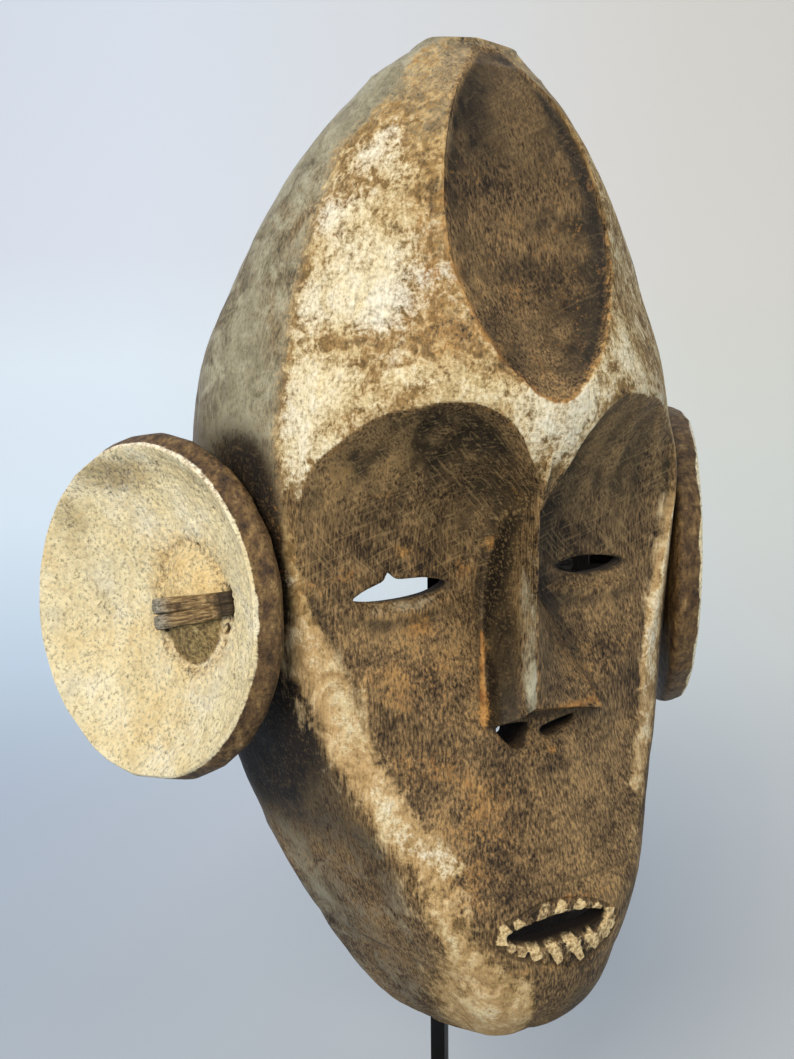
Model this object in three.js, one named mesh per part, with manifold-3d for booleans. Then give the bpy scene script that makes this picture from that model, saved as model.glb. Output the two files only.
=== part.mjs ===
// A carved wooden mask with two dish ears tied to its sides, held up by a bar on a foot plate.
// Millimetres, z up, the face looks along -y, and x runs to the viewer's right.
// The origin is the middle of the foot plate's underside.

import * as THREE from 'three';
import { mergeVertices } from 'three/addons/utils/BufferGeometryUtils.js';
import Module from 'manifold-3d';

const wasm = await Module();
wasm.setup();

// Foot plate and bar
const BASE_WIDTH = 150;
const BASE_DEPTH = 130;
const BASE_HEIGHT = 20;
const BASE_BEVEL = 1.5;
const BAR_SIDE = 6.35;
const BAR_Y = 30;
const BAR_FOOT_Z = 8;
const BAR_TOP_Z = 452.5;
const ARM_SIDE = 5;
const TOP_ARM_Z = 450;
const TOP_ARM_TIP_Y = -16;
const CHIN_ARM_Z = 137;
const CHIN_ARM_TIP_Y = -22;
const FIT = 0.3;

// The mask's own frame starts at the root of the nose, on a plane through the middle of the head
const ROOT_Y = 7;
const ROOT_Z = 336;
const WALL = 9;
const CROWN_Z = 158;
const CHIN_Z = -216;
const HOLLOW_TOP = 138;
const HOLLOW_BOTTOM = -202;
const HOLLOW_BACK = 80;
const HOLLOW_LEAST_STEP = 0.3;

// Heights and sizes below are in the mask's own frame: [height, value] knots from the chin to the crown
const SIDE_HALF_WIDTH = curve([
  [-216, 10], [-214, 20], [-205, 36], [-180, 53], [-140, 74], [-100, 88], [-60, 95],
  [0, 97], [40, 94], [80, 76.5], [120, 55.5], [140, 38.5], [150, 28.2], [158, 15.5],
]);
const SIDE_Y = curve([[-216, -14], [-190, 2], [-120, 18], [0, 25], [100, 22], [158, 6]]);
const RIM_IN = curve([[-216, 2], [-120, 5], [0, 8], [80, 9], [158, 3]]);
const RIM_Y = curve([
  [-216, -6], [-205, 6], [-160, 30], [-120, 47], [-60, 65], [0, 65], [80, 50], [120, 38], [158, 22],
]);
const RIDGE_X = curve([
  [-216, 4], [-210, 11.5], [-195, 21.5], [-180, 28.5], [-160, 38], [-120, 56.7], [-80, 72.6], [-40, 81.8],
  [0, 84.5], [40, 78.8], [80, 68.9], [120, 51.3], [140, 34.2], [158, 11],
]);
const RIDGE_Y = curve([
  [-216, -24], [-210, -41], [-195, -54.5], [-180, -60], [-160, -60], [-120, -46.3], [-80, -29.1], [-40, -20],
  [0, -17.2], [40, -15.6], [80, -7.5], [120, -4.4], [140, -7.9], [158, -8],
]);
const CHEEK_X = curve([
  [-216, 2], [-205, 8], [-180, 18], [-150, 26], [-120, 40], [-80, 50], [-33, 52],
  [34, 43], [70, 31], [100, 31.7], [130, 22.3], [158, 5],
]);
const CHEEK_Y = curve([
  [-216, -26], [-205, -50.5], [-180, -69], [-150, -72], [-120, -55.5], [-80, -39.5], [-33, -42],
  [0, -55], [34, -60], [70, -54.5], [100, -46.4], [130, -36.1], [158, -10],
]);
const FRONT_Y = curve([
  [-216, -25], [-210, -38.5], [-203, -51.5], [-195, -60.5], [-180, -71], [-165, -74.5], [-150, -73],
  [-120, -64.5], [-100, -59], [-76, -54], [0, -61], [15, -69], [35, -74], [55, -68.5], [100, -54],
  [130, -40], [158, -11],
]);
// How far each stretch of the outside bows out from its chord, where the head is widest
const BOW_SCALE_WIDTH = 100;
const FRONT_BOW = 2;
const CHEEK_BOW = 2.5;
const SIDE_BOW = 2;
const RIM_BOW = 0.5;

// The sunken face between the brows and the mouth
const BROW_HEIGHT = curve([
  [0, 0], [7, 12], [14.5, 20], [30, 30.5], [42.5, 34], [55, 31.5], [64.6, 25], [74.6, 11.5],
  [80, -12], [86, -28],
]);
const BROW_Y = curve([
  [0, -61], [14.5, -59], [42.5, -60.5], [52, -53], [64.6, -42], [74.6, -31.5], [80, -29],
]);
const FACE_Y = curve([
  [-112, -74], [-100, -61], [-90, -54.5], [-76, -47.5], [-50, -35], [-33, -29.5], [-15, -28.5],
]);
const FACE_EDGE = curve([[-112, 46], [-100, 51], [-80, 57], [-60, 62], [-33, 73], [-15, 79]]);
const FACE_FALL = curve([[-112, 8], [-80, 10], [-60, 5], [-33, 3]]);
const FACE_RETURN = 1.2;
const EYE_LEVEL = -22;
const FACE_BOTTOM = -112;
const FACE_TOP = 41;
const FACE_REACH = 1.25;
const VAULT_POWER = 2.3;
const BROW_STEP = 2;
const BROW_MARGIN = 7;
const VAULT_LEAST_RISE = 4;

// Leaf-shaped recess on the forehead
const LEAF_HALF_WIDTH = curve([
  [35.5, 0.5], [42, 10.9], [50, 19.3], [60, 26], [72, 30.5], [85, 32.6], [100, 31.7],
  [115, 28.4], [130, 22.3], [145, 12.8], [151, 8],
]);
const LEAF_TIP = 35.5;
const LEAF_TOP = 151;
const LEAF_DEPTH = 6.5;
const LEAF_LIP = 1.2;
const LEAF_TIP_FADE = 2;
const LEAF_TOP_FADE = 3;

// Nose: its bridge line leans to the mask's right, its foot spreads to the left
const NOSE_TOP = 14;
const NOSE_BOTTOM = -80;
const NOSE_RIDGE_X = curve([[-80, -2], [-20, -1.6], [14, 0]]);
const NOSE_RIDGE_Y = -62.8;
const NOSE_RIGHT_FOOT = curve([[-80, -15.5], [-30, -14], [-8, -10], [14, -4.5]]);
const NOSE_LEFT_FOOT = curve([[-80, 31], [-55, 21.5], [-26, 10.5], [0, 6], [14, 4]]);
const NOSE_ROOT_IN = 9;
const NOSE_BACK_WIDTH = 2;
const NOSE_RIDGE_WIDTH = 1;
const NOSE_FACET_OUT = 1.5;
const NOSE_FACET_FORWARD = 7;
const NOSE_WING_FORWARD = 1;
const NOSE_TIP_LIFT = 6;
const NOSE_WING_LIFT = 2.4;
const NOSTRIL_TOP = -83;
const NOSTRIL_BOTTOM = -89;
const NOSTRIL_TAPER = 0.6;
const NOSTRILS = [[-8, 5.5], [11.5, 6.5]];

// Ear dishes: s runs in from the rim plane, towards the mask
const EAR_PROFILE_RADIUS = 61.1;
const EAR_PROFILE = [
  [0, 17], [14, 16.6], [28, 14.4], [42, 10.5], [53, 5.8], [59.5, 0.8], [61.1, 0],
  [64.6, 7.5], [64, 9.5], [54, 12.5], [40, 16.4], [20, 20], [0, 21],
];
// The two dishes were set by hand, so each has its own size, place, turn from the front and tilt
const EARS = [
  { label: 'right', side: -1, radius: 61.1, at: [122.4, 22, -43.8], turn: 63.4, tilt: 5.8 },
  { label: 'left', side: 1, radius: 62.8, at: [122.6, 26, -46.7], turn: 61.3, tilt: -0.6 },
];
const EAR_BACK_POINTS = 6;
const EAR_SIDES = 40;
// The boss and the tie stand towards the face and a little above the middle of the dish
const BOSS_AT = { shift: 11.4, lift: 1.9 };
const TIE_AT = { shift: 15.1, lift: 0.8 };
const BOSS_WIDTH = 37;
const BOSS_HEIGHT = 44;
const BOSS_FOOT = 18;
const BOSS_RISE = 7;
const BOSS_SIDES = 24;
// Split cane over the boss and through a slot at each end
const TIE_ROLL = THREE.MathUtils.degToRad(15.6);
const TIE_WIDTH = 10.6;
const TIE_THICKNESS = 1.8;
const TIE_HALF_SPAN = 20.5;
const TIE_TOP = -8.6;
const TIE_FALL = 2.3;
const TIE_FRONT_REACH = 42;
const TIE_BACK_REACH = 60;
const SLOT_LENGTH = 4;
const SLOT_WIDTH = 11.8;
const SLOT_REACH = 90;

const WOOD = new THREE.MeshStandardMaterial({ color: 0x7a6648, roughness: 0.75 });
const KAOLIN = new THREE.MeshStandardMaterial({ color: 0xd9c79a, roughness: 0.9 });
const CANE = new THREE.MeshStandardMaterial({ color: 0x8d7d64, roughness: 0.7 });
const BLACK_STEEL = new THREE.MeshStandardMaterial({ color: 0x101012, roughness: 0.35, metalness: 0.2 });

// A smooth curve through [position, value] knots that never overshoots them
function curve(knots) {
  const slopes = knots.slice(1).map(([p, v], i) => (v - knots[i][1]) / (p - knots[i][0]));
  const tangents = knots.map((_, i) => {
    const before = slopes[i - 1] ?? slopes[0];
    const after = slopes[i] ?? slopes[slopes.length - 1];
    return before * after <= 0 ? 0 : (2 * before * after) / (before + after);
  });
  return (position) => {
    const last = knots.length - 1;
    if (position <= knots[0][0]) return knots[0][1];
    if (position >= knots[last][0]) return knots[last][1];
    const i = knots.findIndex(([p]) => p > position) - 1;
    const step = knots[i + 1][0] - knots[i][0];
    const t = (position - knots[i][0]) / step;
    const rise = knots[i + 1][1] - knots[i][1];
    const lift = t * t * (3 - 2 * t) * rise;
    return knots[i][1] + lift + step * t * (1 - t) * ((1 - t) * tangents[i] - t * tangents[i + 1]);
  };
}

function range(count, from, to) {
  return Array.from({ length: count }, (_, i) => from + ((to - from) * i) / (count - 1));
}

function geometryOf(positions, indices) {
  const geometry = new THREE.BufferGeometry();
  geometry.setAttribute('position', new THREE.Float32BufferAttribute(positions, 3));
  geometry.setIndex(indices);
  return geometry;
}

function solid(geometry) {
  const bare = geometry.clone();
  bare.deleteAttribute('normal');
  bare.deleteAttribute('uv');
  const merged = mergeVertices(bare, 1e-4);
  return new wasm.Manifold(new wasm.Mesh({
    numProp: 3,
    vertProperties: new Float32Array(merged.attributes.position.array),
    triVerts: new Uint32Array(merged.index.array),
  }));
}

function piece(name, body, material) {
  const { vertProperties, triVerts } = body.getMesh();
  const mesh = new THREE.Mesh(geometryOf(vertProperties, [...triVerts]), material);
  mesh.name = name;
  return mesh;
}

// Closed rings of equally many points, joined from the first to the last and capped at both ends
function loft(rings) {
  const count = rings[0].length;
  const positions = rings.flat().flatMap((p) => [p.x, p.y, p.z]);
  const indices = [];
  for (let r = 0; r < rings.length - 1; r += 1) {
    for (let i = 0; i < count; i += 1) {
      const a = r * count + i;
      const b = r * count + ((i + 1) % count);
      indices.push(a, b, b + count, a, b + count, a + count);
    }
  }
  const caps = [[rings[0], 0, true], [rings.at(-1), (rings.length - 1) * count, false]];
  for (const [ring, start, turned] of caps) {
    const centre = ring.reduce((sum, p) => sum.add(p), new THREE.Vector3()).divideScalar(count);
    const hub = positions.length / 3;
    positions.push(centre.x, centre.y, centre.z);
    for (let i = 0; i < count; i += 1) {
      const pair = [start + i, start + ((i + 1) % count)];
      indices.push(...(turned ? pair.reverse() : pair), hub);
    }
  }
  return geometryOf(positions, indices);
}

// A block whose front is a flat plane far out and whose back follows a carved surface
const BLOCK_FRONT = -140;
const BLOCK_LEAST = 10;
function carvingBlock(columns, rows, place) {
  const rings = range(columns, 0, 1).map((u) => {
    const back = range(rows, 0, 1).map((v) => place(u, v));
    const front = back.map((p) => new THREE.Vector3(p.x, BLOCK_FRONT, p.z));
    return [...back, ...front.reverse()];
  });
  return solid(loft(rings));
}

// One stretch of a horizontal section, bowed out a little from the straight line
function bowed(from, to, bow, steps) {
  const along = to.clone().sub(from);
  const out = new THREE.Vector2(along.y, -along.x).normalize();
  return range(steps + 1, 0, 1).slice(0, -1).map((t) => (
    from.clone().addScaledVector(along, t).addScaledVector(out, bow * 4 * t * (1 - t))
  ));
}

// Half of the outside at one height, from the middle of the front round to the back rim
function halfSection(z) {
  const front = new THREE.Vector2(0, FRONT_Y(z));
  const cheek = new THREE.Vector2(CHEEK_X(z), CHEEK_Y(z));
  const ridge = new THREE.Vector2(RIDGE_X(z), RIDGE_Y(z));
  const side = new THREE.Vector2(SIDE_HALF_WIDTH(z), SIDE_Y(z));
  const rim = new THREE.Vector2(SIDE_HALF_WIDTH(z) - RIM_IN(z), RIM_Y(z));
  const size = SIDE_HALF_WIDTH(z) / BOW_SCALE_WIDTH;
  return [
    ...bowed(front, cheek, FRONT_BOW * size, 4),
    ...bowed(cheek, ridge, CHEEK_BOW * size, 4),
    ...bowed(ridge, side, SIDE_BOW * size, 3),
    ...bowed(side, rim, RIM_BOW * size, 1),
    rim,
  ];
}

function ringFromHalf(half, z) {
  const left = half.map((p) => new THREE.Vector3(p.x, p.y, z));
  const right = half.slice(1).map((p) => new THREE.Vector3(-p.x, p.y, z)).reverse();
  return [...right, ...left];
}

// How far forward the carved face lies below the brows, and how the vault curves up to them
function faceDepth(x, z) {
  const reach = Math.abs(x);
  const level = Math.min(z, EYE_LEVEL);
  const edge = FACE_EDGE(level);
  const fall = FACE_FALL(level) * Math.min(1, reach / edge) ** 2;
  const floor = FACE_Y(level) + fall - FACE_RETURN * Math.max(0, reach - edge);
  if (z <= EYE_LEVEL) return floor;
  const climb = (z - EYE_LEVEL) / Math.max(BROW_HEIGHT(reach) - EYE_LEVEL, VAULT_LEAST_RISE);
  return floor - Math.max(floor - BROW_Y(reach), BROW_STEP) * climb ** VAULT_POWER;
}

const levels = [
  ...range(5, CHIN_Z, -204), ...range(13, -196, -76), ...range(14, -66, 60), ...range(10, 70, CROWN_Z),
];
const outside = solid(loft(levels.map((z) => ringFromHalf(halfSection(z), z))));

// Below the eyes its rows are level, and above them they bend up with the brows
const sunkenFace = carvingBlock(39, 21, (u, v) => {
  const low = FACE_BOTTOM + Math.min(1, 2 * v) * (EYE_LEVEL - FACE_BOTTOM);
  const x = (2 * u - 1) * FACE_REACH * FACE_EDGE(low);
  const top = Math.max(BROW_HEIGHT(Math.abs(x)), EYE_LEVEL) + BROW_MARGIN;
  const z = low + Math.max(0, 2 * v - 1) * (top - EYE_LEVEL);
  return new THREE.Vector3(x, Math.max(faceDepth(x, z), BLOCK_FRONT + BLOCK_LEAST), z);
});

// Near its tip the leaf leaves the cheek line and comes forward to the middle of the forehead
function leafLead(z) {
  const share = Math.min(1, LEAF_HALF_WIDTH(z) / CHEEK_X(z));
  return (FRONT_Y(z) - CHEEK_Y(z)) * (1 - share ** 2);
}

function leafFloor(across, z) {
  const v = (z - LEAF_TIP) / (LEAF_TOP - LEAF_TIP);
  const ends = Math.sin(Math.PI * Math.min(0.5, v * LEAF_TIP_FADE, (1 - v) * LEAF_TOP_FADE));
  const hollowed = LEAF_DEPTH * ends * Math.sqrt(Math.max(0, 1 - Math.abs(across) ** 3));
  return CHEEK_Y(z) + leafLead(z) + LEAF_LIP + hollowed;
}

const leafRecess = carvingBlock(15, 19, (u, v) => {
  const z = LEAF_TIP + v * (LEAF_TOP - LEAF_TIP);
  const across = 2 * u - 1;
  return new THREE.Vector3(across * LEAF_HALF_WIDTH(z), leafFloor(across, z), z);
});

// The hollow keeps a wall behind the outside, the leaf and the sunken face
function carvedFront(x, z) {
  const inFace = z > FACE_BOTTOM && z < FACE_TOP;
  const across = x / LEAF_HALF_WIDTH(z);
  const inLeaf = z > LEAF_TIP && z < LEAF_TOP + WALL && across < 1;
  return Math.max(
    inFace ? faceDepth(x, z) : -Infinity,
    inLeaf ? leafFloor(across, Math.min(z, LEAF_TOP)) : -Infinity,
  );
}

function hollowSection(z) {
  const half = halfSection(z);
  const inset = half.map((p, i) => {
    const before = half[i - 1] ?? new THREE.Vector2(-half[1].x, half[1].y);
    const after = half[i + 1] ?? new THREE.Vector2(p.x, p.y + 1);
    const along = after.clone().sub(before).normalize();
    return new THREE.Vector2(p.x - along.y * WALL, p.y + along.x * WALL);
  });
  const clear = inset.map((p, i) => {
    const x = i === 0 ? 0 : Math.max(p.x, i * HOLLOW_LEAST_STEP);
    return new THREE.Vector2(x, Math.max(p.y, carvedFront(x, z) + WALL));
  });
  clear.at(-1).y = HOLLOW_BACK;
  return clear;
}
const hollowLevels = [...range(12, HOLLOW_BOTTOM, -76), ...range(14, -66, 60), ...range(8, 70, HOLLOW_TOP)];
const hollow = solid(loft(hollowLevels.map((z) => ringFromHalf(hollowSection(z), z))));

// Nose: sections from the bridge down to the overhanging tip, whose ridge stands higher than its wings
const nose = solid(loft(range(9, NOSE_BOTTOM, NOSE_TOP).map((z) => {
  const footY = faceDepth(0, Math.min(z, EYE_LEVEL)) + NOSE_ROOT_IN;
  const right = NOSE_RIGHT_FOOT(z);
  const left = NOSE_LEFT_FOOT(z);
  const ridge = NOSE_RIDGE_X(z);
  const faceY = footY - NOSE_ROOT_IN;
  const ridgeZ = z === NOSE_BOTTOM ? z + NOSE_TIP_LIFT : z;
  const wingZ = z === NOSE_BOTTOM ? z + NOSE_WING_LIFT : z;
  return [
    new THREE.Vector3(right, footY, z),
    new THREE.Vector3(right + NOSE_FACET_OUT, faceY - NOSE_FACET_FORWARD, wingZ),
    new THREE.Vector3(ridge - NOSE_BACK_WIDTH, NOSE_RIDGE_Y + NOSE_RIDGE_WIDTH, ridgeZ),
    new THREE.Vector3(ridge + NOSE_RIDGE_WIDTH, NOSE_RIDGE_Y, ridgeZ),
    new THREE.Vector3(left, faceY - NOSE_WING_FORWARD, wingZ),
    new THREE.Vector3(left, footY, z),
  ];
})));

// A hole pierced straight through the wall, from an outline in the face plane
const PIERCE_FRONT = -90;
const PIERCE_BACK = 60;
function pierced(points) {
  const outline = new THREE.Shape(points.map(([x, z]) => new THREE.Vector2(x, z)));
  const depth = PIERCE_BACK - PIERCE_FRONT;
  const geometry = new THREE.ExtrudeGeometry(outline, { depth, bevelEnabled: false });
  geometry.rotateX(Math.PI / 2);
  geometry.translate(0, PIERCE_BACK, 0);
  return solid(geometry);
}
const brokenEye = pierced([
  [-57.8, -35.7], [-47, -37.4], [-34, -36.8], [-26, -35.6], [-21.2, -33.5], [-23.2, -31.5], [-30, -30],
  [-40.9, -30.3], [-43.8, -26.8], [-45.4, -30.2], [-51, -33],
]);
const wholeEye = pierced([
  [23.6, -32], [28.4, -34.4], [38.7, -36], [48.6, -35.6],
  [56.7, -32], [48.5, -30], [39.9, -28.8], [31, -29.4],
]);
const nostrils = NOSTRILS.map(([x, half]) => pierced([
  [x - half, NOSTRIL_TOP], [x - half * NOSTRIL_TAPER, NOSTRIL_BOTTOM],
  [x + half * NOSTRIL_TAPER, NOSTRIL_BOTTOM], [x + half, NOSTRIL_TOP],
]));
const mouth = pierced([
  [-19.9, -150.4], [-15.9, -154.8], [-8.2, -157], [2.1, -157.2], [12.9, -154.7], [19.6, -152], [19.5, -149.7],
  [17, -147.9], [7.3, -147.4], [-3, -147.4], [-13.5, -148.5],
]);

// The ear's own frame: x runs level along the dish, y up, z out along its axis
function earMatrix({ side, at, turn, tilt }) {
  const turned = THREE.MathUtils.degToRad(turn);
  const tilted = THREE.MathUtils.degToRad(tilt);
  const level = new THREE.Vector3(side * Math.sin(turned), -Math.cos(turned), 0);
  const out = level.multiplyScalar(Math.cos(tilted)).setZ(Math.sin(tilted));
  const across = new THREE.Vector3(0, 0, 1).cross(out).normalize();
  const up = out.clone().cross(across);
  return new THREE.Matrix4().makeBasis(across, up, out).setPosition(side * at[0], at[1], at[2]);
}

// Puts a shape made about the middle of the boss or of the tie in its place, turned as the tie lies
function onDish(geometry, side, { shift, lift }) {
  geometry.rotateZ(-side * TIE_ROLL);
  geometry.translate(-side * shift, lift, 0);
  return solid(geometry);
}

// Two slots right through, one at each end of the tie
function tieSlots(side) {
  const slots = [-1, 1].map((end) => {
    const slot = new THREE.BoxGeometry(SLOT_LENGTH, SLOT_WIDTH, SLOT_REACH);
    slot.translate(end * TIE_HALF_SPAN, 0, -SLOT_REACH / 2);
    return onDish(slot, side, TIE_AT);
  });
  return slots[0].add(slots[1]);
}

function earDish({ side, radius }) {
  const scale = radius / EAR_PROFILE_RADIUS;
  const profile = EAR_PROFILE.map(([r, s]) => new THREE.Vector2(r * scale, -s)).reverse();
  const dish = new THREE.LatheGeometry(profile, EAR_SIDES);
  dish.rotateX(Math.PI / 2);
  const dome = range(7, 0, Math.PI / 2).slice(0, -1).map((a) => new THREE.Vector2(Math.cos(a), Math.sin(a)));
  const quarter = [new THREE.Vector2(0, 0), ...dome, new THREE.Vector2(0, 1)];
  const boss = new THREE.LatheGeometry(quarter, BOSS_SIDES);
  boss.rotateX(Math.PI / 2);
  boss.scale(BOSS_WIDTH / 2, BOSS_HEIGHT / 2, BOSS_RISE);
  boss.translate(0, 0, -BOSS_FOOT);
  return solid(dish).add(onDish(boss, side, BOSS_AT)).subtract(tieSlots(side));
}

// The seat for the back of a dish in the side of the mask
function earSeat({ radius }) {
  const scale = radius / EAR_PROFILE_RADIUS;
  const back = EAR_PROFILE.slice(-EAR_BACK_POINTS).map(([r, s]) => new THREE.Vector2(r * scale, -s - FIT));
  const front = [new THREE.Vector2(0, 0), new THREE.Vector2(back[0].x, 0)];
  const seat = new THREE.LatheGeometry([...front, ...back].reverse(), EAR_SIDES);
  seat.rotateX(Math.PI / 2);
  return solid(seat);
}

// The strip goes over the boss in a low arc, and both ends go down through the slots into the hollow
function tieStrip(side) {
  const half = TIE_THICKNESS / 2;
  const arc = (drop) => range(13, -1, 1).map((t) => (
    new THREE.Vector2(t * (TIE_HALF_SPAN + half - drop), TIE_TOP - drop - TIE_FALL * t ** 4)
  ));
  const outline = new THREE.Shape([
    new THREE.Vector2(-TIE_HALF_SPAN - half, -TIE_BACK_REACH),
    ...arc(0),
    new THREE.Vector2(TIE_HALF_SPAN + half, -TIE_FRONT_REACH),
    new THREE.Vector2(TIE_HALF_SPAN - half, -TIE_FRONT_REACH),
    ...arc(TIE_THICKNESS).reverse(),
    new THREE.Vector2(-TIE_HALF_SPAN + half, -TIE_BACK_REACH),
  ].map((p) => new THREE.Vector2(-side * p.x, p.y)));
  const strip = new THREE.ExtrudeGeometry(outline, { depth: TIE_WIDTH, bevelEnabled: false });
  strip.rotateX(Math.PI / 2);
  strip.translate(0, TIE_WIDTH / 2, 0);
  return onDish(strip, side, TIE_AT);
}

const earCuts = EARS.flatMap((ear) => (
  [tieSlots(ear.side), earSeat(ear)].map((cut) => cut.transform(earMatrix(ear).elements))
));
const carvedMask = [hollow, brokenEye, wholeEye, ...nostrils, mouth, ...earCuts].reduce(
  (body, cutter) => body.subtract(cutter),
  outside.subtract(leafRecess).subtract(sunkenFace).add(nose),
);

const head = new THREE.Group();
head.position.set(0, ROOT_Y, ROOT_Z);
head.add(piece('mask', carvedMask, WOOD));
for (const ear of EARS) {
  const dish = new THREE.Group();
  dish.applyMatrix4(earMatrix(ear));
  dish.add(piece(`ear_${ear.label}`, earDish(ear), KAOLIN));
  dish.add(piece(`tie_${ear.label}`, tieStrip(ear.side), CANE));
  head.add(dish);
}

// A square bar turned on its corner, with one arm under the crown and one inside the chin
function barPiece() {
  const post = new THREE.BoxGeometry(BAR_SIDE, BAR_SIDE, BAR_TOP_Z - BAR_FOOT_Z);
  post.rotateZ(Math.PI / 4);
  post.translate(0, BAR_Y, (BAR_TOP_Z + BAR_FOOT_Z) / 2);
  const arms = [[TOP_ARM_Z, TOP_ARM_TIP_Y], [CHIN_ARM_Z, CHIN_ARM_TIP_Y]].map(([z, tipY]) => {
    const arm = new THREE.BoxGeometry(ARM_SIDE, BAR_Y - tipY, ARM_SIDE);
    arm.translate(0, (BAR_Y + tipY) / 2, z);
    return solid(arm);
  });
  return arms.reduce((body, arm) => body.add(arm), solid(post));
}

function basePiece() {
  const x = BASE_WIDTH / 2 - BASE_BEVEL;
  const y = BASE_DEPTH / 2 - BASE_BEVEL;
  const corners = [[-x, -y], [x, -y], [x, y], [-x, y]];
  const outline = new THREE.Shape(corners.map((corner) => new THREE.Vector2(...corner)));
  const plate = new THREE.ExtrudeGeometry(outline, {
    depth: BASE_HEIGHT - 2 * BASE_BEVEL, bevelThickness: BASE_BEVEL, bevelSize: BASE_BEVEL, bevelSegments: 2,
  });
  plate.translate(0, 0, BASE_BEVEL);
  const socketSide = BAR_SIDE + 2 * FIT;
  const socket = new THREE.BoxGeometry(socketSide, socketSide, 2 * (BASE_HEIGHT - BAR_FOOT_Z + FIT));
  socket.rotateZ(Math.PI / 4);
  socket.translate(0, BAR_Y, BASE_HEIGHT);
  return solid(plate).subtract(solid(socket));
}

const model = new THREE.Group();
model.add(head);
model.add(piece('stand_bar', barPiece(), BLACK_STEEL));
model.add(piece('stand_base', basePiece(), BLACK_STEEL));

export default model;
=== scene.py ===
# A Boa dance mask with two dish ears, on a black steel stand.
# Lengths are millimetres unless a line says otherwise, and are turned to metres where a mesh is made.
import math

import bmesh
import bpy
import numpy as np
from mathutils import Matrix, Vector, kdtree


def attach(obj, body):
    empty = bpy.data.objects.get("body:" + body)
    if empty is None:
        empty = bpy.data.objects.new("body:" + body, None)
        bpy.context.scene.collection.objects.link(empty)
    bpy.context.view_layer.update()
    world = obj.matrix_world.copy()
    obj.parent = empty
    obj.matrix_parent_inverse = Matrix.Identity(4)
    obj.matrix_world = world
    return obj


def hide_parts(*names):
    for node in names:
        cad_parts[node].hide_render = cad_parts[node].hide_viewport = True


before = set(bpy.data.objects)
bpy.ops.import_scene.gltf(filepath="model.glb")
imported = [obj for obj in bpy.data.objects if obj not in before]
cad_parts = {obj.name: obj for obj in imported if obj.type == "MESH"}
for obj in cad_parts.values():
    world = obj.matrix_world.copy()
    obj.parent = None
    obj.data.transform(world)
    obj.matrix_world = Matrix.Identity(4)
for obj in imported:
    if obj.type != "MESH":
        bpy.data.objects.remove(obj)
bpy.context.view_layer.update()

# Camera and studio
# The photograph was taken from a little above the brow and from the mask's right, with the mask filling
# the frame. Behind it is a plain pale grey-blue sweep of paper, lit softly from the upper left.
MM = 0.001
LONG_SIDE_PX = 1059
FOCAL_PX = 1228.2
SENSOR_MM = 36
CAMERA_AT = np.array([-212.93, -408.87, 404.22])
CAMERA_TARGET = np.array([-27.7, 7, 318.2])
CAMERA_ROLL = math.radians(-0.7)

back = CAMERA_AT - CAMERA_TARGET
back /= np.linalg.norm(back)
level = np.cross((0, 0, 1), back)
level /= np.linalg.norm(level)
upright = np.cross(back, level)
rolled = math.cos(CAMERA_ROLL) * level + math.sin(CAMERA_ROLL) * upright
camera = bpy.data.objects.new("camera", bpy.data.cameras.new("camera"))
camera.data.sensor_width = SENSOR_MM
camera.data.lens = FOCAL_PX / LONG_SIDE_PX * SENSOR_MM
camera.data.clip_start = 0.02
camera.matrix_world = Matrix([
    (*row, place) for row, place in zip(np.stack([rolled, np.cross(back, rolled), back], 1), CAMERA_AT * MM)
] + [(0, 0, 0, 1)])
bpy.context.scene.collection.objects.link(camera)
bpy.context.scene.camera = camera


def linear(hex_colour):
    """An sRGB hex colour as linear red, green, blue and full opacity."""
    parts = np.array([int(hex_colour[i:i + 2], 16) for i in (1, 3, 5)]) / 255
    return (*np.where(parts <= 0.04045, parts / 12.92, ((parts + 0.055) / 1.055) ** 2.4), 1.0)


def new_material(name):
    """An empty node material, and its tree."""
    material = bpy.data.materials.new(name)
    material.use_nodes = True
    material.node_tree.nodes.clear()
    return material, material.node_tree


def node(tree, kind, inputs=(), out=0, **settings):
    """Adds a node with its settings and gives one of its outputs. Inputs maps a socket's name or number to a
    value or to another node's output, and stops are the places and colours of a ramp."""
    made = tree.nodes.new("ShaderNode" + kind)
    for key, value in settings.items():
        if key == "stops":
            elements = made.color_ramp.elements
            while len(elements) < len(value):
                elements.new(0.5)
            for stop, (place, colour) in zip(elements, value):
                stop.position = place
                stop.color = linear(colour) if isinstance(colour, str) else (colour, colour, colour, 1)
        else:
            setattr(made, key, value)
    for key, value in dict(inputs).items():
        if isinstance(value, bpy.types.NodeSocket):
            tree.links.new(value, made.inputs[key])
        else:
            made.inputs[key].default_value = value
    return made.outputs[out] if made.outputs else made


def surfaced(tree, colour, roughness, gloss, height=None, strength=0.0, depth=0.0):
    """Ends a tree with its surface: colour, roughness, gloss, and a fine relief with its depth in metres."""
    settings = {"Base Color": colour, "Roughness": roughness, "Specular IOR Level": gloss}
    if height is not None:
        settings["Normal"] = node(tree, "Bump", {"Height": height, "Strength": strength, "Distance": depth})
    node(tree, "OutputMaterial", {"Surface": node(tree, "BsdfPrincipled", settings)})


bpy.context.scene.view_settings.view_transform = "Standard"

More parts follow.
